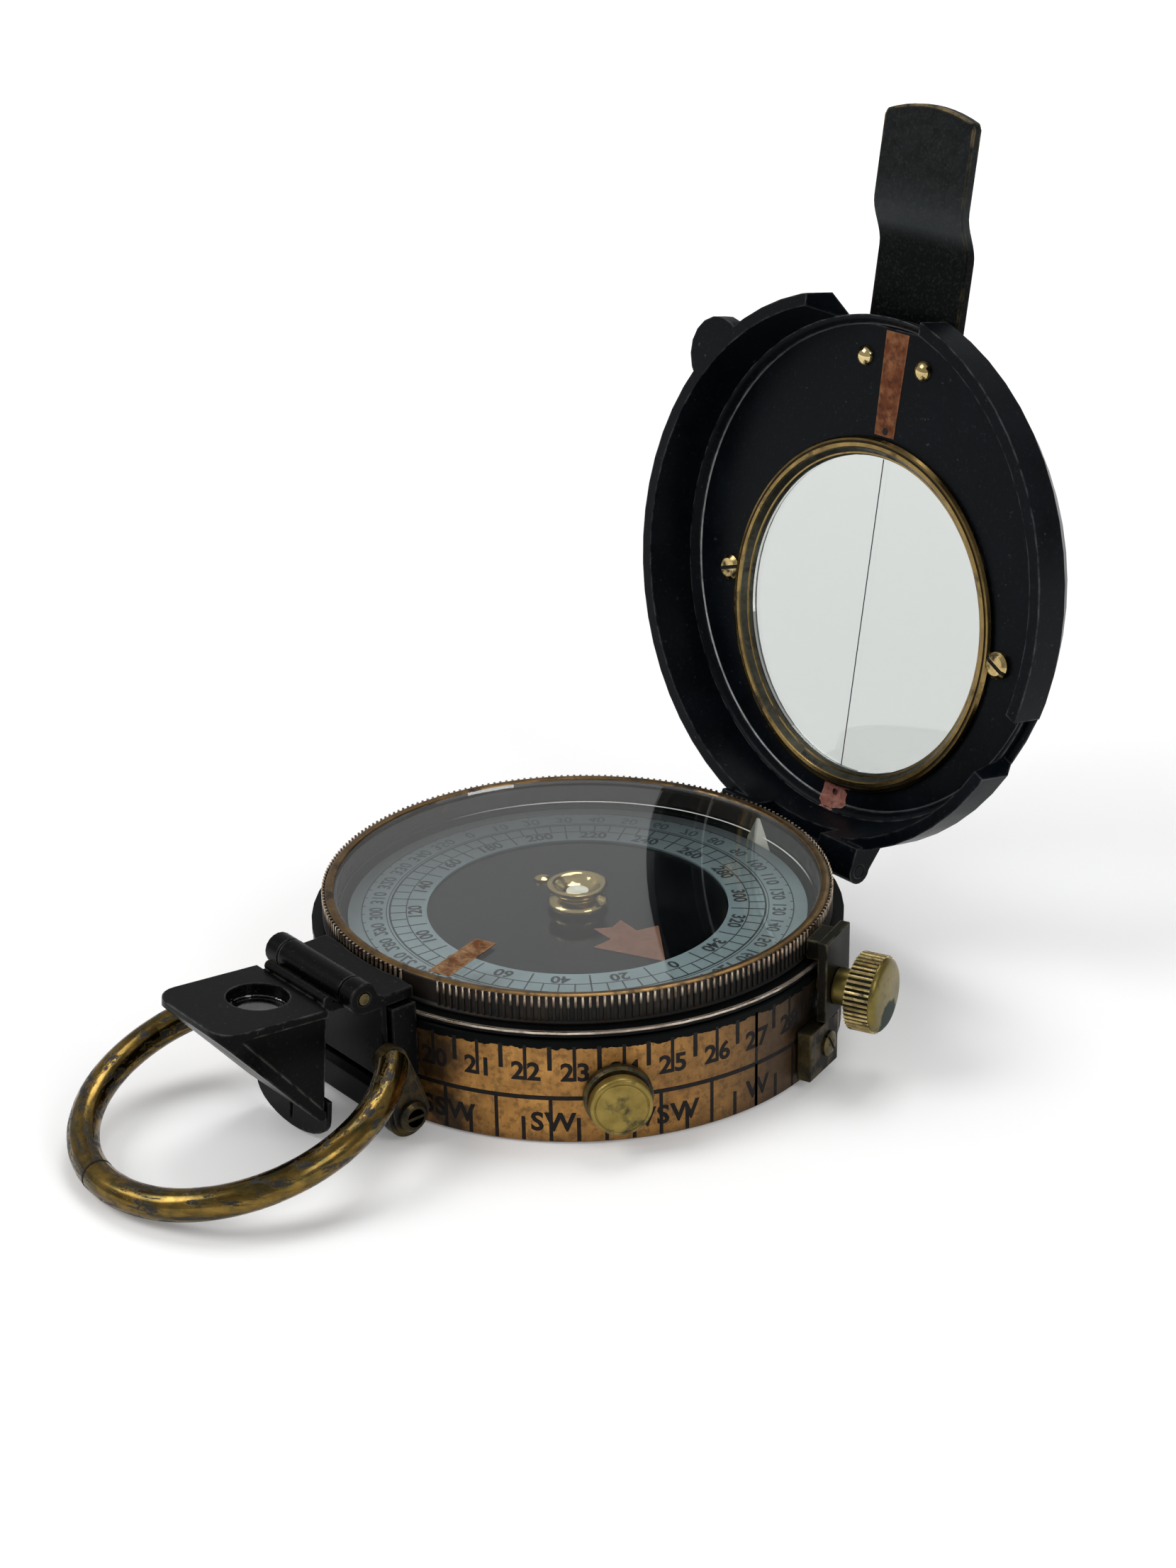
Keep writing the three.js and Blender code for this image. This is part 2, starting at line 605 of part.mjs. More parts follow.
const buttonBack = bushBack + BUSH_THICKNESS + BUTTON_TRAVEL + SEAT;
const leafOuter = CASE_INNER_RADIUS - LOOSE;
const button = latheX([
  [0, leafOuter],
  [BUTTON_STEM_RADIUS, leafOuter],
  [BUTTON_STEM_RADIUS, buttonBack],
  [BUTTON_RADIUS, buttonBack],
  [BUTTON_RADIUS, buttonBack + BUTTON_THICKNESS - 0.3],
  [BUTTON_RADIUS - 0.35, buttonBack + BUTTON_THICKNESS],
  [0, buttonBack + BUTTON_THICKNESS],
], MID);
add(compass, 'check_button', atAzimuth(button.translate(0, 0, BUTTON_Z), BUTTON_AZIMUTH), 'brass');
const leafFace = leafOuter - SEAT / 2;
const leaf = block(
  leafFace - LEAF_THICKNESS,
  leafFace,
  -LEAF_HALF_WIDTH,
  LEAF_HALF_WIDTH,
  BUTTON_Z - LEAF_HALF_WIDTH,
  CARD_Z + CARD_SHEET + SEAT,
);
add(compass, 'brake_leaf', atAzimuth(leaf, BUTTON_AZIMUTH), 'steel');

// Bezel clamp: foot, jaw plate with a pad that reaches to the bezel's side, and the knurled thumbscrew
const plateInner = CASE_CLEAR_RADIUS + CLAMP_STANDOFF;
const plateOuter = plateInner + CLAMP_PLATE_THICKNESS;
const plateBottom = CLAMP_Z - CLAMP_PLATE_BELOW;
const jaw = cut(
  join(
    block(plateInner, plateOuter, -CLAMP_HALF_WIDTH, CLAMP_HALF_WIDTH, plateBottom, BEZEL_TOP - LOOSE),
    block(
      BEZEL_RADIUS + LOOSE,
      plateOuter,
      -CLAMP_PAD_HALF,
      CLAMP_PAD_HALF,
      BEZEL_BOTTOM + 0.35,
      BEZEL_TOP - CLAMP_STANDOFF,
    ),
  ),
  rodX(CLAMP_SHAFT_RADIUS + RUNNING, CASE_INNER_RADIUS, LID_RADIUS + PAST, 0, CLAMP_Z),
);
add(compass, 'clamp_jaw', atAzimuth(jaw, CLAMP_AZIMUTH), 'black');
const foot = block(
  CASE_OUTER_RADIUS + SEAT,
  plateOuter - LOOSE,
  ...CLAMP_FOOT_SIDES,
  CLAMP_FOOT_BOTTOM,
  plateBottom - LOOSE,
);
add(compass, 'clamp_foot', atAzimuth(foot, CLAMP_AZIMUTH + CLAMP_FOOT_TURN), 'black');

const neckStart = plateOuter + SEAT;
const headStart = LID_RADIUS + CLAMP_HEAD_GAP;
const headEnd = headStart + CLAMP_HEAD_LENGTH;
const fluted = Array.from({ length: 2 * CLAMP_FLUTES }, (_, i) => {
  const angle = (Math.PI * i) / CLAMP_FLUTES;
  const radius = CLAMP_HEAD_RADIUS - (i % 2) * CLAMP_FLUTE_DEPTH;
  return [radius * Math.cos(angle), radius * Math.sin(angle)];
});
const clampTurned = latheX([
  [0, CASE_INNER_RADIUS + 0.4],
  [CLAMP_SHAFT_RADIUS, CASE_INNER_RADIUS + 0.4],
  [CLAMP_SHAFT_RADIUS, neckStart],
  [CLAMP_NECK_RADIUS, neckStart],
  [CLAMP_NECK_RADIUS, headStart],
  [CLAMP_HEAD_RADIUS - 0.4, headStart],
  [CLAMP_HEAD_RADIUS, headStart + 0.4],
  [CLAMP_HEAD_RADIUS, headEnd - 0.7],
  [CLAMP_HEAD_RADIUS - 0.7, headEnd],
  [0, headEnd],
], BIG);
const clampScrew = common(clampTurned, sideSlab(fluted, CASE_INNER_RADIUS, headEnd + 1));
add(compass, 'clamp_screw', atAzimuth(clampScrew.translate(0, 0, CLAMP_Z), CLAMP_AZIMUTH), 'brass');

// Bezel ring, its glass and the ring that keeps the glass in
const glassBore = BEZEL_RADIUS - BEZEL_RIM;
add(compass, 'bezel_ring', lathe([
  [BEZEL_RADIUS, BEZEL_BOTTOM],
  [BEZEL_RADIUS, BEZEL_TOP - BEZEL_CHAMFER],
  [BEZEL_RADIUS - BEZEL_CHAMFER, BEZEL_TOP],
  [glassBore, BEZEL_TOP],
  [glassBore, GLASS_BOTTOM - SEAT / 2],
  [glassBore - GLASS_SEAT, GLASS_BOTTOM - SEAT / 2],
  [glassBore - GLASS_SEAT, BEZEL_BOTTOM],
]), 'bronze');
add(compass, 'bezel_glass', lathe([
  [0, GLASS_BOTTOM],
  [GLASS_RADIUS, GLASS_BOTTOM],
  [GLASS_RADIUS, GLASS_TOP],
  [0, GLASS_TOP],
]), 'glass');
const glassRingOuter = GLASS_RADIUS + SEAT / 2;
const glassRingLow = GLASS_TOP + 0.03;
add(compass, 'glass_ring', lathe([
  [glassRingOuter - GLASS_RING_WIDTH, glassRingLow],
  [glassRingOuter, glassRingLow],
  [glassRingOuter, glassRingLow + GLASS_RING_HEIGHT],
  [glassRingOuter - GLASS_RING_WIDTH, glassRingLow + GLASS_RING_HEIGHT],
]), 'brass');

// Card: black sheet, pale scale ring, cap with its jewel, two bar magnets
const card = new THREE.Group();
card.rotation.z = THREE.MathUtils.degToRad(ARROW_AZIMUTH);
compass.add(card);
const sheetTop = CARD_Z + CARD_SHEET;
add(card, 'card_sheet', lathe([
  [POST_RADIUS + 0.5, CARD_Z],
  [CARD_RADIUS - 0.2, CARD_Z],
  [CARD_RADIUS - 0.2, sheetTop],
  [POST_RADIUS + 0.5, sheetTop],
]), 'black');
add(card, 'card_scale_ring', lathe([
  [CARD_BLACK_RADIUS, sheetTop + CARD_LAYER_GAP],
  [CARD_RADIUS, sheetTop + CARD_LAYER_GAP],
  [CARD_RADIUS, sheetTop + CARD_SHEET],
  [CARD_BLACK_RADIUS, sheetTop + CARD_SHEET],
]), 'pearl');
const jewelTop = needleTop + JEWEL_HEIGHT;
add(card, 'card_cap', lathe([
  [CAP_BORE, sheetTop + CARD_LAYER_GAP],
  [CAP_RADIUS, sheetTop + CARD_LAYER_GAP],
  [CAP_RADIUS, sheetTop + 0.75],
  [CAP_RADIUS - CAP_WAIST, sheetTop + 1.15],
  [CAP_RADIUS - CAP_WAIST, sheetTop + 1.55],
  [CAP_RADIUS, CAP_TOP - 0.6],
  [CAP_RADIUS, CAP_TOP],
  [CAP_RADIUS - 0.7, CAP_TOP],
  [CAP_RADIUS - 1.1, jewelTop + CAP_ROOF],
  [0, jewelTop + CAP_ROOF],
  [0, jewelTop],
  [CAP_BORE, jewelTop],
], SMALL), 'brass');
add(card, 'card_jewel', lathe([
  [0, needleTop + SEAT / 2],
  [CAP_BORE - SEAT, needleTop + SEAT / 2],
  [CAP_BORE - SEAT, jewelTop - SEAT / 2],
  [0, jewelTop - SEAT / 2],
], SMALL), 'pale');
const magnet = (side) => block(
  -MAGNET_LENGTH / 2,
  MAGNET_LENGTH / 2,
  side * MAGNET_OFFSET - MAGNET_WIDTH / 2,
  side * MAGNET_OFFSET + MAGNET_WIDTH / 2,
  CARD_Z - SEAT / 2 - MAGNET_HEIGHT,
  CARD_Z - SEAT / 2,
);
add(card, 'magnet_left', magnet(1), 'steel');
add(card, 'magnet_right', magnet(-1), 'steel');

// Card lifter: a bracket on the floor, its pin, and the lever whose collar rises under the card
const acrossLever = (radius, half) => rodX(radius, -half, half, 0, 0)
  .rotateZ(Math.PI / 2)
  .translate(LIFTER_PIVOT_R, 0, LIFTER_PIVOT_Z);
const earInner = LIFTER_PIVOT_R - LIFTER_EAR_HALF;
const earOuter = LIFTER_PIVOT_R + LIFTER_EAR_HALF;
const earTop = LIFTER_PIVOT_Z + LIFTER_EAR_HALF;
const pinHole = acrossLever(LIFTER_PIN_RADIUS + RUNNING, PAST);
const ears = cut(
  join(
    block(earInner, earOuter, -LIFTER_EAR_OUTER, LIFTER_EAR_OUTER, CASE_FLOOR, CASE_FLOOR + 1),
    block(earInner, earOuter, LIFTER_EAR_INNER, LIFTER_EAR_OUTER, CASE_FLOOR, earTop),
    block(earInner, earOuter, -LIFTER_EAR_OUTER, -LIFTER_EAR_INNER, CASE_FLOOR, earTop),
  ),
  pinHole,
);
add(compass, 'lifter_bracket', atAzimuth(ears, LIFTER_AZIMUTH), 'steel');
const lifterPin = acrossLever(LIFTER_PIN_RADIUS, LIFTER_EAR_OUTER);
add(compass, 'lifter_pin', atAzimuth(lifterPin, LIFTER_AZIMUTH), 'steel');
const leverLow = LIFTER_PIVOT_Z - LEVER_HALF_THICKNESS;
const lever = cut(
  join(
    block(
      LEVER_COLLAR_BORE + 0.4,
      LIFTER_PIVOT_R,
      -LEVER_HALF_WIDTH,
      LEVER_HALF_WIDTH,
      leverLow,
      LIFTER_PIVOT_Z + LEVER_HALF_THICKNESS,
    ),
    rodZ(LEVER_COLLAR_RADIUS, leverLow, CARD_Z - LEVER_COLLAR_GAP, 0, 0),
    acrossLever(LIFTER_EYE_RADIUS, LIFTER_EAR_INNER - LOOSE),
  ),
  rodZ(LEVER_COLLAR_BORE, 0, CASE_HEIGHT + PAST, 0, 0),
  pinHole,
);
add(compass, 'lifter_lever', atAzimuth(lever, LIFTER_AZIMUTH), 'brass');

// Lid, built closed about its hinge and then turned open
const lid = new THREE.Group();
lid.position.set(0, HINGE_Y, HINGE_Z);
lid.rotation.x = -THREE.MathUtils.degToRad(LID_OPEN_ANGLE);
compass.add(lid);
const lidMiddle = -HINGE_Y;
const inLid = (geometry) => geometry.translate(0, lidMiddle, 0);
const rimInner = LID_RADIUS - LID_RIM_WALL;
const seamRadius = rimInner - LID_INNER_TAPER;
const plateRadius = seamRadius - TURNED_SEAT;
const bevelHeightAt = (radius) => (
  LID_HEIGHT - (radius - LID_TOP_RADIUS) * (LID_HEIGHT - LID_STRAIGHT) / LID_BEVEL
);
const rim = lathe([
  [seamRadius, LID_INNER_Z],
  [rimInner, 0],
  [LID_RADIUS, 0],
  [LID_RADIUS, LID_STRAIGHT],
  [seamRadius, bevelHeightAt(seamRadius)],
]);
const plate = lathe([
  [0, LID_INNER_Z],
  [plateRadius, LID_INNER_Z],
  [plateRadius, bevelHeightAt(plateRadius)],
  [LID_TOP_RADIUS, LID_HEIGHT],
  [0, LID_HEIGHT],
]);
const sleeveOuter = WINDOW_OPENING + WINDOW_SLEEVE;
const thumbTab = atAzimuth(
  cut(
    rodZ(THUMB_TAB_RADIUS, 0, THUMB_TAB_HEIGHT, LID_RADIUS - THUMB_TAB_INSET, 0, SMALL),
    rodZ(rimInner + 0.2, -1, THUMB_TAB_HEIGHT + 1, 0, 0, BIG),
  ),
  THUMB_TAB_AZIMUTH,
);
const lug = (side) => {
  const near = HINGE_MIDDLE_HALF + HINGE_LUG_GAP;
  const [x0, x1] = side > 0 ? [near, HINGE_HALF_LENGTH] : [-HINGE_HALF_LENGTH, -near];
  return join(
    rodX(HINGE_RADIUS, x0, x1, 0, 0),
    sideSlab([[-2.8, -0.9], [0, -HINGE_RADIUS], [0, HINGE_RADIUS], [-2.8, 3.2]], x0, x1),
  ).translate(0, -lidMiddle, 0);
};
const clampNotch = atAzimuth(
  block(
    LID_RADIUS - 2.9,
    LID_RADIUS + PAST,
    -CLAMP_NOTCH_HALF,
    CLAMP_NOTCH_HALF,
    -2,
    BEZEL_TOP - HINGE_Z + 0.4,
  ),
  CLAMP_AZIMUTH,
);
const prismNotch = (top) => block(
  -GUIDE_HALF_WIDTH - 0.5,
  GUIDE_HALF_WIDTH + 0.5,
  -LID_RADIUS - PAST,
  -LID_TOP_RADIUS + 0.8,
  -2,
  top,
);
const hingeNotch = block(
  -HINGE_MIDDLE_HALF - HINGE_LUG_GAP,
  HINGE_MIDDLE_HALF + HINGE_LUG_GAP,
  HINGE_Y - HINGE_NOTCH_DEPTH,
  HINGE_Y + PAST,
  -2 * HINGE_RADIUS,
  HINGE_RADIUS + 0.4,
);
const fastenerHole = (x, y) => rodZ(FASTENER_SHANK + SEAT, 0, LID_HEIGHT + 1, x, y, TINY);
const lidRim = cut(
  join(rim, thumbTab, lug(1), lug(-1)),
  clampNotch,
  prismNotch(LID_HEIGHT + 1),
  hingeNotch,
  rodX(HINGE_PIN_RADIUS + RUNNING, -PAST, PAST, HINGE_Y, 0),
);
add(lid, 'lid_rim', inLid(lidRim), 'black');
const lidPlate = cut(
  plate,
  rodZ(sleeveOuter + TURNED_SEAT, 0, LID_HEIGHT + 1, 0, WINDOW_OFFSET, BIG),
  prismNotch(LID_HEIGHT - LID_LIP),
  fastenerHole(WINDOW_SCREW_X, WINDOW_SCREW_OFFSET),
  fastenerHole(-WINDOW_SCREW_X, WINDOW_SCREW_OFFSET),
  fastenerHole(RIVET_X, -RIVET_U),
  fastenerHole(-RIVET_X, -RIVET_U),
);
add(lid, 'lid_plate', inLid(lidPlate), 'black');

// Sighting window: flanged ring, glass and two screws
const flangeTop = LID_INNER_Z - TURNED_SEAT;
const flangeLow = LID_INNER_Z - WINDOW_FLANGE_HEIGHT;
add(lid, 'window_ring', inLid(lathe([
  [WINDOW_OPENING, flangeLow],
  [WINDOW_RING_RADIUS - 0.2, flangeLow],
  [WINDOW_RING_RADIUS, flangeLow + 0.2],
  [WINDOW_RING_RADIUS, flangeTop],
  [sleeveOuter, flangeTop],
  [sleeveOuter, LID_HEIGHT - 0.4],
  [WINDOW_OPENING, LID_HEIGHT - 0.4],
]).translate(0, WINDOW_OFFSET, 0)), 'brass');
add(lid, 'window_glass', inLid(lathe([
  [0, LID_INNER_Z],
  [WINDOW_OPENING - SEAT, LID_INNER_Z],
  [WINDOW_OPENING - SEAT, LID_INNER_Z + WINDOW_GLASS_THICKNESS],
  [0, LID_INNER_Z + WINDOW_GLASS_THICKNESS],
]).translate(0, WINDOW_OFFSET, 0)), 'glass');
const fastener = (head, rise) => lathe([
  [0, LID_INNER_Z - rise],
  [head * 0.6, LID_INNER_Z - rise],
  [head, LID_INNER_Z - rise * 0.6],
  [head, flangeTop],
  [FASTENER_SHANK, flangeTop],
  [FASTENER_SHANK, LID_HEIGHT - SEAT / 2],
  [0, LID_HEIGHT - SEAT / 2],
], TINY);
const inWindow = (x, y, head, rise) => inLid(fastener(head, rise).translate(x, y, 0));
const screwHead = [WINDOW_SCREW_HEAD, WINDOW_SCREW_RISE];
const rivetHead = [RIVET_HEAD, RIVET_RISE];
add(lid, 'window_screw_right', inWindow(WINDOW_SCREW_X, WINDOW_SCREW_OFFSET, ...screwHead), 'brass');
add(lid, 'window_screw_left', inWindow(-WINDOW_SCREW_X, WINDOW_SCREW_OFFSET, ...screwHead), 'brass');
add(lid, 'tongue_rivet_right', inWindow(RIVET_X, -RIVET_U, ...rivetHead), 'brass');
add(lid, 'tongue_rivet_left', inWindow(-RIVET_X, -RIVET_U, ...rivetHead), 'brass');

// Tongue: a strip on the lid's outer face that steps down and covers the prism box
const tongueLow = LID_HEIGHT + TURNED_SEAT;
const tongueHigh = tongueLow + TONGUE_THICKNESS;
const bend = [];
for (let i = 0; i <= 8; i += 1) {
  bend.push([
    -TONGUE_BEND_U - TONGUE_BEND_LENGTH * (i / 8),
    TONGUE_DROP * (1 - Math.cos(Math.PI * (i / 8))) / 2,
  ]);
}
const tongueEnd = -TONGUE_TIP_U - TONGUE_ARCH;
const tongueSide = sideSlab([
  [-TONGUE_ROOT_U, tongueLow],
  [-TONGUE_ROOT_U, tongueHigh],
  ...bend.map(([y, drop]) => [y, tongueHigh - drop]),
  [tongueEnd, tongueHigh - TONGUE_DROP],
  [tongueEnd, tongueLow - TONGUE_DROP],
  ...bend.map(([y, drop]) => [y, tongueLow - drop]).reverse(),
], -TONGUE_HALF_WIDTH, TONGUE_HALF_WIDTH);
const archHalf = TONGUE_HALF_WIDTH - TONGUE_CORNER / 2;
const tonguePlan = [
  [TONGUE_HALF_WIDTH, -TONGUE_ROOT_U + 1],
  [TONGUE_HALF_WIDTH, -TONGUE_TIP_U + TONGUE_CORNER],
];
for (let i = 0; i <= 10; i += 1) {
  const across = 1 - i / 5;
  tonguePlan.push([archHalf * across, -TONGUE_TIP_U - TONGUE_ARCH * (1 - across * across)]);
}
tonguePlan.push(
  [-TONGUE_HALF_WIDTH, -TONGUE_TIP_U + TONGUE_CORNER],
  [-TONGUE_HALF_WIDTH, -TONGUE_ROOT_U + 1],
);
add(lid, 'lid_tongue', inLid(common(tongueSide, slab(tonguePlan, 0, LID_HEIGHT + PAST))), 'black');

// Prism slide: a tongue in the guide, a front plate, a flange and two hinge knuckles
const knuckleNear = PRISM_KNUCKLE_HALF + LOOSE;
const slideMiddle = GUIDE_FACE_Y - 2 * LOOSE;
const slideFront = GUIDE_FACE_Y - LOOSE - SLIDE_PLATE_THICKNESS;
const slideBottom = GUIDE_BOTTOM + 2 * LOOSE;
const slideTop = PRISM_AXIS_Z - 0.5;
const slideKnuckle = (x0, x1) => join(
  rodX(PRISM_BARREL_RADIUS, x0, x1, PRISM_AXIS_Y, PRISM_AXIS_Z),
  sideSlab([
    [PRISM_AXIS_Y, PRISM_AXIS_Z - PRISM_BARREL_RADIUS],
    [slideMiddle, PRISM_AXIS_Z - PRISM_BARREL_RADIUS],
    [slideMiddle, PRISM_AXIS_Z - 0.5],
    [PRISM_AXIS_Y, PRISM_AXIS_Z + 0.8],
  ], x0, x1),
);
const slide = cut(
  join(
    block(
      -SLIDE_TONGUE_HALF,
      SLIDE_TONGUE_HALF,
      slideMiddle,
      GUIDE_FACE_Y + SLIDE_TONGUE_DEPTH,
      slideBottom,
      slideTop - 0.3,
    ),
    block(-SLIDE_HALF_WIDTH, SLIDE_HALF_WIDTH, slideFront, GUIDE_FACE_Y - LOOSE, slideBottom, slideTop),
    block(-SLIDE_HALF_WIDTH, SLIDE_HALF_WIDTH, slideFront, -BEZEL_RADIUS, GUIDE_TOP + 0.3, slideTop),
    slideKnuckle(knuckleNear, SLIDE_HALF_WIDTH),
    slideKnuckle(-SLIDE_HALF_WIDTH, -knuckleNear),
  ),
  rodZ(BEZEL_RADIUS + 0.5, 0, BEZEL_TOP + PAST, 0, 0, BIG),
  rodX(PRISM_PIN_RADIUS + RUNNING, -PAST, PAST, PRISM_AXIS_Y, PRISM_AXIS_Z),
);
add(compass, 'prism_slide', slide, 'black');
add(compass, 'prism_hinge_pin', rodX(
  PRISM_PIN_RADIUS,
  -SLIDE_HALF_WIDTH,
  SLIDE_HALF_WIDTH,
  PRISM_AXIS_Y,
  PRISM_AXIS_Z,
), 'brass');

// Prism box, built flat about its hinge and then tilted to its rest
const prism = new THREE.Group();
prism.position.set(0, PRISM_AXIS_Y, PRISM_AXIS_Z);
prism.rotation.x = -THREE.MathUtils.degToRad(PRISM_REST_TILT);
compass.add(prism);
const wedge = sideSlab([
  [-PRISM_BOX_START, PRISM_TOP],
  [-PRISM_BOX_END, PRISM_TOP],
  [-PRISM_BOX_END, PRISM_TOP - 0.6],
  [-PRISM_BOX_START - 0.7, PRISM_BOTTOM],
  [-PRISM_BOX_START, PRISM_BOTTOM],
], -PRISM_HALF_WIDTH, PRISM_HALF_WIDTH);
const corner = [];
for (let i = 0; i <= 6; i += 1) {
  const angle = (Math.PI / 2) * (i / 6);
  corner.push([
    PRISM_HALF_WIDTH - PRISM_BOX_CORNER * (1 - Math.cos(angle)),
    -PRISM_BOX_END + PRISM_BOX_CORNER * (1 - Math.sin(angle)),
  ]);
}
const boxPlan = [
  [PRISM_HALF_WIDTH, -1],
  ...corner,
  ...corner.map(([x, y]) => [-x, y]).reverse(),
  [-PRISM_HALF_WIDTH, -1],
];
const cheek = [[-1, PRISM_TOP - 0.85], [-PRISM_BOX_END + 2.3, PRISM_TOP - 0.85], [-1, PRISM_BOTTOM - 1.6]];
const hollowTop = PRISM_TOP - PRISM_TOP_PLATE;
const hollowMouth = -PRISM_BOX_START + 0.44;
const hollow = [
  [hollowMouth, hollowTop],
  [-PRISM_BOX_END + 2.75, hollowTop],
  [hollowMouth, PRISM_BOTTOM + 0.6],
];
const cheekX = PRISM_HALF_WIDTH - PRISM_CHEEK_INSET;
const hollowHalf = PRISM_HALF_WIDTH - PRISM_BOX_WALL;
const boxShell = cut(
  join(
    common(wedge, slab(boxPlan, SIGHT_PLATE_BOTTOM, PRISM_BARREL_RADIUS)),
    rodX(PRISM_BARREL_RADIUS, -PRISM_KNUCKLE_HALF, PRISM_KNUCKLE_HALF, 0, 0),
    block(-PRISM_KNUCKLE_HALF, PRISM_KNUCKLE_HALF, -PRISM_BOX_START - 0.4, 0, PRISM_TOP - 0.95, PRISM_TOP),
    rodX(
      PRISM_BEAD_RADIUS,
      -PRISM_KNUCKLE_HALF,
      PRISM_KNUCKLE_HALF,
      -PRISM_BOX_START * 0.8,
      PRISM_TOP + 0.3,
      TINY,
    ),
  ),
  sideSlab(cheek, cheekX, PAST),
  sideSlab(cheek, -PAST, -cheekX),
  sideSlab(hollow, -hollowHalf, hollowHalf),
  rodZ(LENS_RADIUS + TURNED_SEAT, hollowTop - 1, PRISM_BARREL_RADIUS, 0, -LENS_PLACE, MID),
  rodX(PRISM_PIN_RADIUS + RUNNING, -PAST, PAST, 0, 0),
);
add(prism, 'prism_box', boxShell, 'black');
const glassTop = hollowTop - 0.25;
add(prism, 'prism_glass', sideSlab([
  [-PRISM_BOX_START - 0.2, glassTop],
  [-PRISM_BOX_END + 3.4, glassTop],
  [-PRISM_BOX_START - 0.2, PRISM_BOTTOM + 1.7],
], LOOSE - hollowHalf, hollowHalf - LOOSE), 'glass');
add(prism, 'prism_lens', lathe([
  [0, PRISM_TOP - 1.25],
  [LENS_RADIUS, PRISM_TOP - 1.25],
  [LENS_RADIUS, PRISM_TOP - 0.75],
  [LENS_RADIUS * 0.6, PRISM_TOP - 0.55],
  [0, PRISM_TOP - 0.45],
], MID).translate(0, -LENS_PLACE, 0), 'glass');

// Sight plate with its slit, on the eye side of the box
const plateTop = PRISM_BOTTOM + 1.9;
const plateSide = SIGHT_PLATE_BOTTOM + SIGHT_PLATE_ROUND;
const plateOutline = [[PRISM_HALF_WIDTH, plateTop]];
for (let i = 0; i <= 14; i += 1) {
  const angle = (Math.PI * i) / 14;
  plateOutline.push([PRISM_HALF_WIDTH * Math.cos(angle), plateSide - SIGHT_PLATE_ROUND * Math.sin(angle)]);
}
plateOutline.push([-PRISM_HALF_WIDTH, plateTop]);
const sightPlate = cut(
  slab(plateOutline, 0, SIGHT_PLATE_THICKNESS).rotateX(Math.PI / 2).translate(0, -PRISM_BOX_START + 0.75, 0),
  block(-SIGHT_SLIT_WIDTH / 2, SIGHT_SLIT_WIDTH / 2, -PAST, PAST, SIGHT_PLATE_BOTTOM + 0.8, PRISM_BOTTOM),
);
add(prism, 'sight_plate', sightPlate, 'black');

export default compass;
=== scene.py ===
"""Looks of a pocket sighting compass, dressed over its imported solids.

Lengths are in millimetres until a mesh is made.
"""
import json
from math import acos, asin, atan2, cos, dist, pi, radians, sin, sqrt, tau

import bmesh
import bpy
from mathutils import Matrix, Vector


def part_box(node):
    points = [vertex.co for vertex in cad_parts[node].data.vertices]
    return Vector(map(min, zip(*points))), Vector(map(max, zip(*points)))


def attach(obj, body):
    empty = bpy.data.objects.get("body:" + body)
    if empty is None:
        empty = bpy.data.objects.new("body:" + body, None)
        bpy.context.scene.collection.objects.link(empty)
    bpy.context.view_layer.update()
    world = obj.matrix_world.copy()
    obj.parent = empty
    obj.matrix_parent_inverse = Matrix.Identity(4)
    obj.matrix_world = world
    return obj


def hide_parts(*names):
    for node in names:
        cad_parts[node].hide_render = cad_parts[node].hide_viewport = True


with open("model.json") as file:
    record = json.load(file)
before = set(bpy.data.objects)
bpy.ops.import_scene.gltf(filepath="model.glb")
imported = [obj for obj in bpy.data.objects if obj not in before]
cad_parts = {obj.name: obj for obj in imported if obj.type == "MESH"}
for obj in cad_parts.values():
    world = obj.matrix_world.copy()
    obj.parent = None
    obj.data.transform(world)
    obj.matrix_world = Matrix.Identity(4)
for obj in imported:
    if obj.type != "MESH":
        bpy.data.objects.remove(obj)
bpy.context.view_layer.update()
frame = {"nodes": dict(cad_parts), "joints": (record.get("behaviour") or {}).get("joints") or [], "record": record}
record = frame["record"]
body_of = {node: body for body, members in record["behaviour"]["bodies"].items() for node in members}
joints = {joint["name"]: joint for joint in frame["joints"]}
slot_of = {part["node"]: part["material_slot"] for part in record["subparts"]}

MM = 0.001
FINE = 192
MEDIUM = 64
COARSE = 32
ON_AXIS = 1e-6
UNMOVED = Matrix.Identity(4)


def span(node):
    """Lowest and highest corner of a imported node, in millimetres."""
    low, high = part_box(node)
    return low / MM, high / MM


# Places taken from the frame
band_low, band_high = span("scale_band")
BAND_RADIUS = band_high.x
bezel_low, bezel_high = span("bezel_ring")
BEZEL_RADIUS = bezel_high.x
glass_low, glass_high = span("bezel_glass")
drum_high = span("case_drum")[1]
card_high = span("card_scale_ring")[1]
sheet_low, sheet_high = span("card_sheet")
tongue_high = span("lid_tongue")[1]
LID_HINGE = Vector(joints["lid_hinge"]["pos_m"]) / MM
LID_ANGLE = -radians(joints["lid_hinge"]["range_deg"][0])
PRISM_HINGE = Vector(joints["prism_fold"]["pos_m"]) / MM
RING_PIVOT = Vector(joints["ring_swing"]["pos_m"]) / MM
CLAMP_AXIS = Vector(joints["clamp_turn"]["axis"])
CLAMP_LEVEL = joints["clamp_turn"]["pos_m"][2] / MM
BUTTON_AXIS = -Vector(joints["button_press"]["axis"])
BUTTON_LEVEL = 5.6

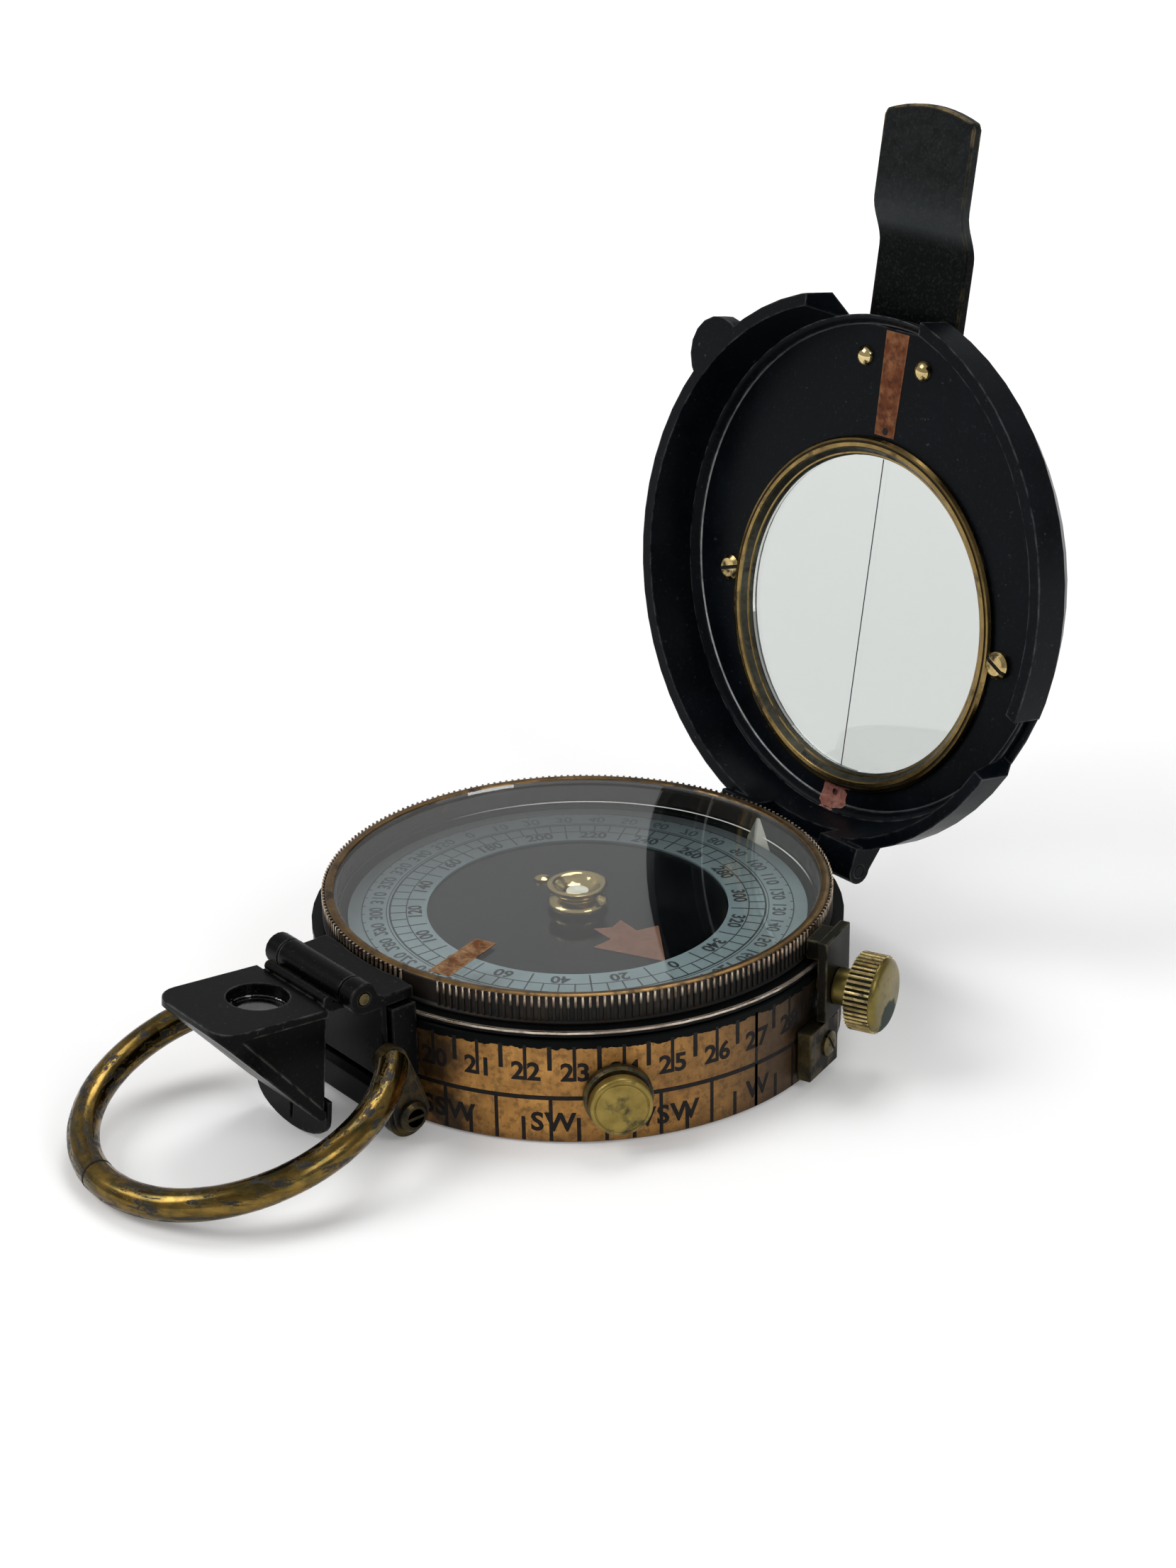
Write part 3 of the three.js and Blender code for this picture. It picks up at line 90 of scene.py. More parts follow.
# Sizes of the marks, the trim and the finishes
CARD_TURN = radians(-5)
CARD_BLACK_RADIUS = 16.3
CARD_HOLE = 1.6
PEARL_MARGIN = 23.3
BAND_MIDDLE = 5.25
BAND_DIGITS = 8.1
BAND_LETTERS = 2.4
BAND_BLACK = 10.85
# Dark spots on the band, by azimuth, height and size: painted shade beside the clamp and at the band's left end by the
# prism guide, and a dark stain low on the letters there
BAND_SHADE_AND_GRIME = ((15.5, 8.2, 3.8), (-70.5, 8.5, 4.6), (-67, 2.0, 3.6))
LEDGE_RADIUS = 28.7
INDEX_AZIMUTH = radians(88.3)
INK_RAISE = 0.015
KNURL_COUNT = 231
KNURL_GAP_AZIMUTH = radians(-75)
KNURL_GAP = radians(10)
CLAMP_KNURL_COUNT = 44
CLAMP_HEAD_START = 32.7
CLAMP_HEAD_END = 36.1
CLAMP_CORE_RADIUS = 3.96
FOOT_SCREW_AZIMUTH = radians(19.6)
FOOT_SCREW_LEVEL = 3.9
WINDOW_OFFSET = 5.3
WINDOW_OPENING = 18.15
LID_PLATE_FACE = 6.2
RIVET_X = 4.48
RIVET_OFFSET = -23.53
SCREW_X = 21.45
SCREW_OFFSET = 5.1
GLASS_STRIP_AZIMUTH = radians(-72)
RING_RADIUS = 16.0
RING_WIRE = 1.65
RING_SLOPE = radians(15.3)
RING_CENTRE = Vector((0, -44.2, 6.1))
RING_END_X = 10.0
RING_CUT = radians(-7)
RING_STREAK = 0.22
PRISM_TILT = radians(-5.3)
LENS_PLACE = 7.55
LENS_RADIUS = 3.05
LEVER_ARM_TOP = 10.0
LEVER_RELIEF = 0.07
BUMP_DEPTH = 0.00004

# Turns a point of the closed lid, measured from the middle of the case and from the plate's lower face,
# to where the open lid has it
in_lid = (
    Matrix.Translation(LID_HINGE)
    @ Matrix.Rotation(-LID_ANGLE, 4, "X")
    @ Matrix.Translation((0, -LID_HINGE.y, LID_PLATE_FACE))
)


def out_from_axis(azimuth):
    return Vector((cos(azimuth), sin(azimuth), 0))


def turned_to(axis):
    return Vector((0, 0, 1)).rotation_difference(axis).to_matrix().to_4x4()


def facing(axis, level):
    """Turns a piece built about Z to point out of the case along axis, at a level."""
    return Matrix.Translation((0, 0, level)) @ turned_to(axis)


at_button = facing(BUTTON_AXIS, BUTTON_LEVEL)
at_clamp = facing(CLAMP_AXIS, CLAMP_LEVEL)
on_card = Matrix.Rotation(CARD_TURN, 4, "Z")
in_prism = Matrix.Translation(PRISM_HINGE) @ Matrix.Rotation(PRISM_TILT, 4, "X")


# Colours and shader nodes

def srgb(red, green, blue):
    """A colour as a screen shows it, 0 to 255, in linear values."""
    def linear(value):
        value /= 255
        return value / 12.92 if value <= 0.04045 else ((value + 0.055) / 1.055) ** 2.4
    return linear(red), linear(green), linear(blue), 1.0


def put(tree, kind, values=None, **settings):
    """Adds a node, with its settings and its inputs set or linked."""
    node = tree.nodes.new(kind)
    for key, value in settings.items():
        setattr(node, key, value)
    for key, value in (values or {}).items():
        if isinstance(value, bpy.types.NodeSocket):
            tree.links.new(value, node.inputs[key])
        else:
            node.inputs[key].default_value = value
    return node


def maths(tree, operation, first, second=0.0, clamp=False):
    return put(tree, "ShaderNodeMath", {0: first, 1: second}, operation=operation, use_clamp=clamp).outputs[0]


def noise(tree, vector, scale, **more):
    return put(tree, "ShaderNodeTexNoise", {"Vector": vector, "Scale": scale, **more}).outputs["Fac"]


def new_group(name, output, **inputs):
    """A shader group with a vector and float inputs, which are given with their defaults, and one output."""
    tree = bpy.data.node_groups.new(name, "ShaderNodeTree")
    tree.interface.new_socket("Vector", in_out="INPUT", socket_type="NodeSocketVector")
    for label, default in inputs.items():
        kind = "NodeSocketVector" if isinstance(default, tuple) else "NodeSocketFloat"
        tree.interface.new_socket(label, in_out="INPUT", socket_type=kind).default_value = default
    tree.interface.new_socket(output, in_out="OUTPUT", socket_type="NodeSocketFloat")
    return tree, put(tree, "NodeGroupInput").outputs


def make_blotches():
    """Cloudy patches that cover a share of the surface."""
    tree, given = new_group("blotches", "Mask", Scale=300.0, Cover=0.4, Softness=0.2)
    cloud = noise(tree, given["Vector"], given["Scale"], Detail=6.0, Roughness=0.62)
    start = maths(tree, "SUBTRACT", 0.72, maths(tree, "MULTIPLY", given["Cover"], 0.44))
    above = maths(tree, "DIVIDE", maths(tree, "SUBTRACT", cloud, start), given["Softness"])
    put(tree, "NodeGroupOutput", {"Mask": maths(tree, "ADD", above, 0.5, clamp=True)})
    return tree


def make_edge_wear():
    """Bright along edges, broken up by noise: rubbed edges, and on black enamel a painted edge highlight as well."""
    tree, given = new_group("edge_wear_and_highlight", "Mask", Reach=0.0003, Amount=3.0, Scale=700.0)
    rounded = put(tree, "ShaderNodeBevel", {"Radius": given["Reach"]}, samples=6).outputs[0]
    true = put(tree, "ShaderNodeNewGeometry").outputs["Normal"]
    same = put(tree, "ShaderNodeVectorMath", {0: rounded, 1: true}, operation="DOT_PRODUCT").outputs["Value"]
    turned = maths(tree, "SUBTRACT", 1.0, same, clamp=True)
    cloud = noise(tree, given["Vector"], given["Scale"], Detail=4.0)
    broken = put(tree, "ShaderNodeMapRange", {"Value": cloud, "From Min": 0.38, "From Max": 0.62}).outputs[0]
    worn = maths(tree, "MULTIPLY", maths(tree, "MULTIPLY", turned, given["Amount"]), broken, clamp=True)
    put(tree, "NodeGroupOutput", {"Mask": worn})
    return tree


def make_grain():
    """Fine scratches drawn out along one axis, for bump and roughness."""
    tree, given = new_group("grain", "Height", Stretch=(1.0, 1.0, 0.06), Scale=5000.0)
    drawn = put(tree, "ShaderNodeVectorMath", {0: given["Vector"], 1: given["Stretch"]}, operation="MULTIPLY")
    put(tree, "NodeGroupOutput", {"Height": noise(tree, drawn.outputs[0], given["Scale"], Detail=3.0)})
    return tree


BLOTCHES = make_blotches()
EDGE_WEAR_AND_HIGHLIGHT = make_edge_wear()
GRAIN = make_grain()


class Look:
    """A material in the making, with a colour that is laid on in coats. Colours are red, green and blue to 255."""

    def __init__(self, name):
        self.material = bpy.data.materials.new(name)
        self.material.use_nodes = True
        self.tree = self.material.node_tree
        self.shader = self.tree.nodes["Principled BSDF"]
        self.place = put(self.tree, "ShaderNodeTexCoord").outputs["Object"]
        self.colour = None

    def axes(self):
        return put(self.tree, "ShaderNodeSeparateXYZ", {0: self.place}).outputs

    def maths(self, operation, first, second=0.0, clamp=False):
        return maths(self.tree, operation, first, second, clamp)

    def times(self, first, second, clamp=False):
        return self.maths("MULTIPLY", first, second, clamp)

    def most(self, first, second):
        return self.maths("MAXIMUM", first, second)

    def reach(self, across, along):
        """Distance from the axis."""
        squares = [self.maths("POWER", side, 2.0) for side in (across, along)]
        return self.maths("SQRT", self.maths("ADD", *squares))

    def ramp(self, value, start, end, unit=MM):
        """Goes from 0 at start to 1 at end."""
        limits = {"Value": value, "From Min": start * unit, "From Max": end * unit}
        return put(self.tree, "ShaderNodeMapRange", limits).outputs[0]

    def near(self, spot, waves, start, end):
        """A ragged patch round a spot."""
        away = put(self.tree, "ShaderNodeVectorMath", {0: self.place, 1: spot * MM}, operation="DISTANCE")
        return self.ramp(self.maths("ADD", away.outputs["Value"], waves), start, end)

    def between(self, mask, first, second):
        return put(self.tree, "ShaderNodeMapRange", {"Value": mask, "To Min": first, "To Max": second}).outputs[0]

    def blotches(self, scale, cover, softness, vector=None):
        vector = self.place if vector is None else vector
        values = {"Vector": vector, "Scale": scale, "Cover": cover, "Softness": softness}
        return put(self.tree, "ShaderNodeGroup", values, node_tree=BLOTCHES).outputs["Mask"]

    def edges(self, reach, amount, scale):
        values = {"Vector": self.place, "Reach": reach * MM, "Amount": amount, "Scale": scale}
        return put(self.tree, "ShaderNodeGroup", values, node_tree=EDGE_WEAR_AND_HIGHLIGHT).outputs["Mask"]

    def grain(self, stretch, scale):
        values = {"Vector": self.place, "Stretch": stretch, "Scale": scale}
        return put(self.tree, "ShaderNodeGroup", values, node_tree=GRAIN).outputs["Height"]

    def mix(self, mask, first, second):
        first, second = (srgb(*colour) if isinstance(colour, tuple) else colour for colour in (first, second))
        return put(self.tree, "ShaderNodeMix", {0: mask, 6: first, 7: second}, data_type="RGBA").outputs[2]

    def base(self, mask, first, second):
        self.colour = self.mix(mask, first, second)

    def coat(self, mask, colour, share=1.0):
        """Lays a colour over the coats so far, where the mask is."""
        self.colour = self.mix(mask if share == 1.0 else self.times(mask, share), self.colour, colour)

    def bump(self, height, strength):
        values = {"Height": height, "Strength": strength, "Distance": BUMP_DEPTH}
        normal = put(self.tree, "ShaderNodeBump", values).outputs["Normal"]
        self.tree.links.new(normal, self.shader.inputs["Normal"])

    def done(self, **values):
        """Gives the shader its values and the coats their place, and hands over the material."""
        if self.colour is not None:
            values["Base_Color"] = self.colour
        for key, value in values.items():
            socket = self.shader.inputs[key.replace("_", " ")]
            if isinstance(value, bpy.types.NodeSocket):
                self.tree.links.new(value, socket)
            else:
                socket.default_value = value
        return self.material


# Materials

def black_enamel(name, base, cloud, worn, wear, rough=0.32, gloss=0.07):
    """Satin black over brass, cloudy, chipped to metal along the edges, where the pale edges also serve as painted
    highlights, and with dust specks in places.
    """
    look = Look(name)
    clouds = look.blotches(140, 0.5, 0.5)
    chips = look.blotches(1500, 0.08, 0.05)
    # Pale edges: wear chipped to metal, which also stands in for painted highlights along the edges
    rubbed = look.most(look.edges(0.4, wear, 650), look.times(chips, 0.25))
    look.base(clouds, base, cloud)
    look.coat(look.blotches(2600, 0.2, 0.12), (70, 74, 76), 0.12)
    look.coat(rubbed, worn)
    look.bump(look.grain((1.0, 1.0, 1.0), 3200), 0.12)
    return look.done(Metallic=look.times(rubbed, 0.75), Roughness=look.between(clouds, rough - 0.06, rough + 0.1),
                     Specular_IOR_Level=gloss)


def aged_brass(name, bright, dull, dark, stain=0.3, green=0.1, rough=0.34, metal=1.0, wear=2.5, scale=260.0,
               patch=None):
    """Brass gone dull in clouds, stained dark, with verdigris in spots or a patch and bright rubbed edges."""
    look = Look(name)
    clouds = look.blotches(scale, 0.55, 0.45)
    stains = look.blotches(scale * 0.62, stain, 0.12)
    spots = look.blotches(scale * 1.7, green, 0.1)
    look.base(clouds, dull, bright)
    look.coat(stains, dark)
    look.coat(spots, (62, 92, 70), 0.7)
    look.coat(look.edges(0.3, wear, 900), bright)
    dirty = look.most(stains, spots)
    if patch:
        crust = look.near(patch, look.times(clouds, 0.9 * MM), 2.8, 2.5)
        look.coat(crust, (18, 38, 28))
        dirty = look.most(dirty, crust)
    look.bump(look.grain((1.0, 1.0, 0.4), 2600), 0.14)
    return look.done(Metallic=look.between(dirty, metal, metal * 0.55),
                     Roughness=look.between(dirty, rough, rough + 0.24))


def ring_patina():
    """Brown bronze, polished where a thumb rubs it, with dark streaks that run round the bow."""
    look = Look("ring_patina")
    x, y, z = look.axes()
    back = look.maths("SUBTRACT", y, RING_CENTRE.y * MM)
    around = look.times(look.maths("ARCTAN2", back, x), RING_RADIUS * MM * RING_STREAK)
    drawn = put(look.tree, "ShaderNodeCombineXYZ", {0: around, 1: look.reach(x, back), 2: z}).outputs[0]
    streaks = look.blotches(1100, 0.4, 0.05, drawn)
    crust = look.times(streaks, look.blotches(1500, 0.62, 0.12))
    look.base(look.blotches(700, 0.5, 0.3, drawn), (72, 56, 28), (146, 118, 60))
    look.coat(look.blotches(620, 0.42, 0.2), (66, 66, 44), 0.65)
    look.coat(streaks, (66, 50, 30), 0.45)
    look.coat(crust, (26, 26, 22))
    look.bump(look.maths("SUBTRACT", 1.0, crust), 0.35)
    return look.done(Metallic=look.between(crust, 1.0, 0.3), Roughness=look.between(crust, 0.2, 0.5))


def worn_line():
    """Black edge rubbed to a pale line, with a painted highlight that makes it brightest on the low left side of the
    open lid.
    """
    look = Look("worn_line")
    x, _, z = look.axes()
    broken = look.blotches(380, 0.74, 0.4)
    # Painted highlight: the pale line is strongest low on the left of the open lid, over faint broken wear elsewhere
    bare = look.times(look.times(look.ramp(x, 6, -8), look.ramp(z, 66, 40)), broken)
    look.base(look.most(bare, look.times(broken, 0.12)), (8, 10, 12), (186, 190, 190))
    return look.done(Roughness=0.4, Specular_IOR_Level=0.1)


def tongue_finish():
    """Mottled black, with a painted sheen above the bend and painted shade below it, rubbed to brass round the top."""
    look = Look("tongue_finish")
    height = look.axes()["Z"]
    top = tongue_high.z
    # Painted shade on the low part below the bend, and a painted sheen band just above it
    below = look.ramp(height, top - 13.0, top - 15.0)
    painted_sheen = look.times(look.ramp(height, top - 7.5, top - 12.5), look.maths("SUBTRACT", 1.0, below))
    mottled = look.blotches(950, 0.5, 0.4)
    upper = look.maths("ADD", 0.15, look.ramp(height, top - 6.0, top))
    worn = look.times(look.edges(0.5, 6.0, 650), upper, clamp=True)
    look.base(mottled, (5, 6, 7), (26, 29, 30))
    look.coat(painted_sheen, (52, 57, 59), 0.6)
    look.coat(below, (3, 4, 4), 0.85)
    look.coat(look.blotches(3000, 0.3, 0.15), (84, 88, 88), 0.12)
    look.coat(worn, (226, 196, 138))
    look.bump(mottled, 0.15)
    return look.done(Metallic=look.times(worn, 0.75), Roughness=0.4,
                     Specular_IOR_Level=look.between(below, 0.1, 0.04))


def band_finish():
    """Orange-brown brass with upright brush marks, stains, darker near its two edges, painted shade towards its +Y side
    and in spots by the clamp and the prism guide, and black above.
    """
    look = Look("band_finish")
    _, y, z = look.axes()
    clouds = look.blotches(330, 0.5, 0.5)
    stains = look.blotches(260, 0.34, 0.2)
    brushed = look.grain((1.0, 1.0, 0.08), 4200)
    # Darker near the band's top and bottom edges, broken up like the stains
    rims = look.most(look.ramp(z, 1.4, band_low.z), look.ramp(z, band_high.z - 0.9, band_high.z))
    dark_rims_and_stains = look.times(look.maths("ADD", rims, stains), clouds, clamp=True)
    uneven = look.maths("SUBTRACT", noise(look.tree, look.place, 900.0, Detail=4.0), 0.5)
    coated = look.maths("GREATER_THAN", look.maths("ADD", z, look.times(uneven, 0.9 * MM)), BAND_BLACK * MM)
    look.base(clouds, (142, 98, 46), (220, 162, 84))
    look.coat(brushed, (104, 70, 32), 0.4)
    look.coat(dark_rims_and_stains, (48, 36, 24), 0.8)
    look.coat(look.blotches(1500, 0.36, 0.12), (74, 52, 30), 0.5)
    # Painted shade: darker towards the +Y side
    look.coat(look.ramp(y, -14, 2), (46, 36, 28), 0.88)
    # Painted shade by the clamp and the prism guide, and a stain, in ragged spots
    for azimuth, height, size in BAND_SHADE_AND_GRIME:
        spot = out_from_axis(radians(azimuth)) * BAND_RADIUS + Vector((0, 0, height))
        look.coat(look.near(spot, look.times(uneven, 3 * MM), size, 0.5 * size), (24, 20, 15), 0.85)
    look.coat(coated, (8, 10, 10))
    look.bump(brushed, 0.2)
    return look.done(Metallic=look.between(coated, 0.5, 0.0), Roughness=look.between(dark_rims_and_stains, 0.42, 0.64),
                     Specular_IOR_Level=look.between(coated, 0.4, 0.05))


def ledge_finish():
    """Black case whose upper ledge is rubbed down to bare metal along its front, where its pale edge is also a painted
    highlight.
    """
    look = Look("ledge_finish")
    x, y, z = look.axes()
    high = look.ramp(z, drum_high.z - 0.26, drum_high.z - 0.18)
    outer = look.ramp(look.reach(x, y), LEDGE_RADIUS - 0.4, LEDGE_RADIUS - 0.25)
    # Painted highlight: the pale bare edge is drawn only along the front, where X minus Y is large, over wear
    front = look.ramp(look.maths("SUBTRACT", x, y), 15, 22)
    bare = look.times(look.times(look.times(high, outer), look.blotches(420, 0.84, 0.4)), front)
    clouds = look.blotches(240, 0.5, 0.4)
    look.base(clouds, (6, 8, 9), (15, 16, 15))
    look.coat(bare, look.mix(clouds, (152, 124, 100), (236, 226, 212)))
    return look.done(Metallic=bare, Roughness=look.between(bare, 0.42, 0.26), Specular_IOR_Level=0.07)


def knurl_finish():
    """Dark bronze ridges, rubbed to copper towards the top rim, the pale tones there being painted highlights."""
    look = Look("knurl_finish")
    upper = look.ramp(look.axes()["Z"], bezel_high.z - 1.3, bezel_high.z - 0.3)
    # Upper ridges: copper wear, lightened to near white in spots as painted highlights
    rubbed = look.times(upper, look.blotches(760, 0.78, 0.3))
    look.base(look.blotches(520, 0.5, 0.4), (17, 17, 15), (42, 36, 28))
    look.coat(rubbed, look.mix(look.blotches(900, 0.6, 0.2), (146, 112, 86), (214, 198, 176)))
    return look.done(Metallic=rubbed, Roughness=look.between(rubbed, 0.44, 0.26), Specular_IOR_Level=0.15)


def printing_ink(name, base, faded):
    look = Look(name)
    look.base(look.blotches(1300, 0.4, 0.3), base, faded)
    return look.done(Roughness=0.6, Specular_IOR_Level=0.2)


def old_paint(name, base, pale, dark):
    """Dried luminous paint: crumbly, spotted dark, chipped to pale at its edge."""
    look = Look(name)
    spots = look.blotches(1250, 0.4, 0.12)
    look.base(look.blotches(620, 0.42, 0.25), base, pale)
    look.coat(spots, dark, 0.6)
    look.coat(look.edges(0.4, 4.0, 1400), pale)
    look.bump(spots, 0.5)
    return look.done(Roughness=0.8, Specular_IOR_Level=0.2)


def pearl_finish():
    """Grey-blue card with painted shade towards the left, darkest on its outer margin there."""
    look = Look("pearl_finish")
    x, y, _ = look.axes()
    # Painted shade: darker towards the left, and darkest beyond the margin radius there
    dull = look.ramp(look.maths("SUBTRACT", x, look.times(y, 0.5)), 4, -22)
    margin = look.times(look.maths("GREATER_THAN", look.reach(x, y), PEARL_MARGIN * MM), dull)
    look.base(look.blotches(150, 0.5, 0.6), (90, 105, 108), (112, 128, 131))
    look.coat(look.blotches(2200, 0.16, 0.1), (72, 85, 89), 0.4)
    look.coat(dull, (52, 59, 61))
    look.coat(margin, (36, 40, 41))
    return look.done(Roughness=0.45)


def clear_glass(name, tint):
    """Glass that lets the lamps reach what is behind it."""
    look = Look(name)
    clear = put(look.tree, "ShaderNodeBsdfTransparent", {"Color": tint}).outputs[0]
    shadow = put(look.tree, "ShaderNodeLightPath").outputs["Is Shadow Ray"]
    mixed = put(look.tree, "ShaderNodeMixShader", {0: shadow, 1: look.shader.outputs[0], 2: clear}).outputs[0]
    look.tree.links.new(mixed, look.tree.nodes["Material Output"].inputs["Surface"])
    return look.done(Base_Color=tint, Roughness=0.0, IOR=1.5, Transmission_Weight=1.0)


def plain_steel():
    look = Look("plain_steel")
    brushed = look.grain((0.1, 1.0, 1.0), 3000)
    look.base(brushed, (120, 122, 124), (176, 178, 180))
    return look.done(Metallic=1.0, Roughness=look.between(brushed, 0.25, 0.45))


def wall_finish():
    """Edge of the case's wall, bare and pale round the back, where the pale is a painted highlight, and black at the
    sides.
    """
    look = Look("wall_finish")
    x, y, _ = look.axes()
    around = look.maths("ARCTAN2", y, x)
    degree = radians(1)
    # Painted highlight: pale only round the back, between azimuths of about 56 and 176 degrees
    bare = look.times(look.ramp(around, 56, 70, degree), look.ramp(around, 176, 150, degree))
    look.base(bare, (14, 15, 15), (224, 224, 218))
    return look.done(Roughness=0.4, Specular_IOR_Level=0.2)


def index_finish():
    """Pale wedge whose left face is painted grey as shade, its right face pale as if lit."""
    look = Look("index_finish")
    ridge = BAND_RADIUS * cos(INDEX_AZIMUTH)
    look.base(look.blotches(900, 0.5, 0.4), (84, 86, 82), (130, 132, 124))
    # Painted light and shade: only the right of the ridge is pale; the left face stays grey
    look.coat(look.ramp(look.axes()["X"], ridge - 0.2, ridge + 0.1), (200, 198, 186))
    return look.done(Roughness=0.45)


def bone_white():
    look = Look("bone_white")
    look.base(look.blotches(500, 0.5, 0.5), (168, 168, 156), (206, 204, 190))
    return look.done(Roughness=0.45)


def floor_finish():
    """Pale floor that glows to the camera, to metal and to glass, more so far from the object."""
    look = Look("pale_floor")
    path = put(look.tree, "ShaderNodeLightPath").outputs
    seen = look.most(path["Is Camera Ray"], look.most(path["Is Glossy Ray"], path["Is Transmission Ray"]))
    away = put(look.tree, "ShaderNodeVectorMath", {0: look.place}, operation="LENGTH").outputs["Value"]
    glow = look.between(look.ramp(away, 200, 700), 0.14, 0.6)
    return look.done(Base_Color=(0.9, 0.9, 0.9, 1.0), Roughness=0.9, Specular_IOR_Level=0.1,
                     Emission_Color=(1.0, 1.0, 1.0, 1.0), Emission_Strength=look.times(seen, glow))


def make_finishes():
    """All materials, by the short names that the pieces use."""
    tangent = Vector((0, 0, 1)).cross(CLAMP_AXIS)
    crusted = CLAMP_AXIS * CLAMP_HEAD_END + tangent * 0.3 + Vector((0, 0, CLAMP_LEVEL - 2.8))
    made = {
        "lid_line": worn_line(), "tongue_black": tongue_finish(), "ledge": ledge_finish(), "band": band_finish(),
        "knurl": knurl_finish(), "ring": ring_patina(), "pearl": pearl_finish(), "steel": plain_steel(),
        "wall": wall_finish(), "index": index_finish(), "bone": bone_white(), "floor": floor_finish(),
        "glass": clear_glass("clear_glass", (0.97, 0.985, 0.98, 1.0)),
        # Dark-tinted glass for the prism, painted shade that keeps the lens dark
        "shade_tinted": clear_glass("shade_tinted_glass", (0.2, 0.17, 0.15, 1.0)),
        "window": clear_glass("window_glass_clear", (0.62, 0.65, 0.63, 1.0)),
    }
    # Base, cloud and worn colour, then wear, roughness and gloss
    for key, name, *values in (
        ("enamel", "lid_enamel", (2, 4, 7), (10, 15, 21), (104, 107, 107), 2.2),
        ("prism_black", "prism_black", (2, 2, 3), (6, 7, 8), (116, 116, 110), 2.2, 0.3, 0.08),
        ("gunmetal", "gunmetal", (9, 9, 7), (30, 28, 20), (142, 134, 106), 3.2, 0.36, 0.06),
        ("card_black", "card_black", (2, 3, 4), (5, 6, 7), (20, 20, 20), 0.3, 0.1, 0.25),
        ("pin_black", "pin_black", (5, 5, 6), (14, 14, 14), (40, 40, 38), 0.4, 0.34, 0.08),
    ):
        made[key] = black_enamel(name, *values)
    # Bright, dull and dark colour, then stain, green, roughness, metal, wear, scale and patch
    for key, name, *values in (
        ("foot_brass", "foot_brass", (90, 78, 52), (44, 39, 26), (18, 17, 12), 0.5, 0.1, 0.42, 1, 2.5, 520),
        ("bezel", "bezel_bronze", (44, 36, 29), (25, 21, 18), (11, 11, 10), 0.45, 0.03, 0.44, 0.6),
        ("rim_gold", "rim_gold", (138, 108, 68), (84, 65, 40), (38, 31, 22), 0.34, 0.05, 0.32, 1, 1, 420),
        ("eye", "eye_bronze", (88, 74, 46), (48, 41, 26), (18, 18, 15), 0.5, 0.1, 0.36, 1, 2.5, 480),
        ("button", "button_brass", (152, 132, 70), (118, 100, 50), (70, 64, 34), 0.28, 0.06, 0.42, 0.9, 2.5, 620),
        ("clamp", "clamp_brass", (130, 116, 64), (98, 87, 46), (56, 54, 33), 0.26, 0.1, 0.36, 1, 2.5, 420, crusted),
        # A lit copy of the clamp's brass for painted highlights on its ridges, and a dark copy for painted shade
        # between them
        ("clamp_ridge_highlit", "clamp_ridge_highlit", (196, 176, 124), (128, 112, 68), (60, 54, 34), 0.36, 0.14, 0.18, 1, 2.5, 900),
        ("clamp_core_shaded", "clamp_core_shaded", (32, 28, 18), (20, 18, 12), (11, 11, 8), 0.4, 0.1, 0.5),
        ("collar", "collar_brass", (112, 100, 68), (70, 62, 42), (30, 28, 20), 0.4, 0.06, 0.36, 1, 2.5, 620),
        ("brass", "window_brass", (146, 123, 76), (98, 81, 50), (54, 45, 30), 0.24, 0.02, 0.2, 1, 2.5, 420),
        ("screw", "screw_brass", (204, 182, 126), (128, 106, 64), (48, 40, 26), 0.4, 0.0, 0.16, 1, 2.5, 900),
        ("wall_grey", "wall_grey", (88, 88, 78), (56, 57, 51), (30, 31, 28), 0.34, 0.02, 0.36, 1, 0.6, 620),
        ("groove", "groove_brass", (50, 40, 24), (29, 24, 16), (12, 11, 9), 0.4, 0.03, 0.4),
        ("polished", "polished_brass", (214, 194, 142), (176, 154, 100), (104, 86, 54), 0.1, 0.0, 0.12),
    ):
        made[key] = aged_brass(name, *values)
    for key, base, faded in (
        ("band_ink", (12, 10, 10), (30, 24, 20)),
        ("card_ink", (15, 19, 23), (34, 41, 46)),
        ("faded_ink", (34, 41, 45), (60, 69, 73)),
    ):
        made[key] = printing_ink(key, base, faded)
    for key, *colours in (
        ("lid_paint", (100, 54, 30), (140, 92, 60), (60, 34, 22)),
        ("lid_patch", (136, 84, 74), (170, 120, 106), (80, 50, 46)),
        ("glass_paint", (98, 58, 32), (156, 122, 86), (64, 36, 20)),
        ("arrow_paint", (96, 64, 48), (112, 78, 60), (78, 50, 38)),
    ):
        made[key] = old_paint(key, *colours)
    return made


FINISHES = make_finishes()


# Mesh tools

def linked(name, data):
    thing = bpy.data.objects.new(name, data)
    bpy.context.scene.collection.objects.link(thing)
    return thing


def evaluated_mesh(thing):
    """A plain mesh of what an object's curve or modifiers make."""
    return bpy.data.meshes.new_from_object(thing.evaluated_get(bpy.context.evaluated_depsgraph_get()))


def place_mesh(name, mesh, look):
    mesh.materials.clear()
    mesh.materials.append(FINISHES[look])
    return linked(name, mesh)


def place_drawing(name, bm, look):
    mesh = bpy.data.meshes.new(name)
    bm.to_mesh(mesh)
    bm.free()
    return place_mesh(name, mesh, look)


def new_piece(name, bm, look, place=UNMOVED, sharp=35.0):
    """Makes a piece of a mesh drawn in millimetres, with its place in its mesh."""
    bmesh.ops.remove_doubles(bm, verts=bm.verts, dist=0.0005)
    bmesh.ops.recalc_face_normals(bm, faces=bm.faces)
    bm.transform(Matrix.Scale(MM, 4) @ place)
    for face in bm.faces:
        face.smooth = True
    for edge in bm.edges:
        edge.smooth = edge.calc_face_angle(0.0) < radians(sharp)
    return place_drawing(name, bm, look)


def show(piece, body, slot, *replaced):
    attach(piece, body)
    if replaced:
        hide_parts(*replaced)
    return piece


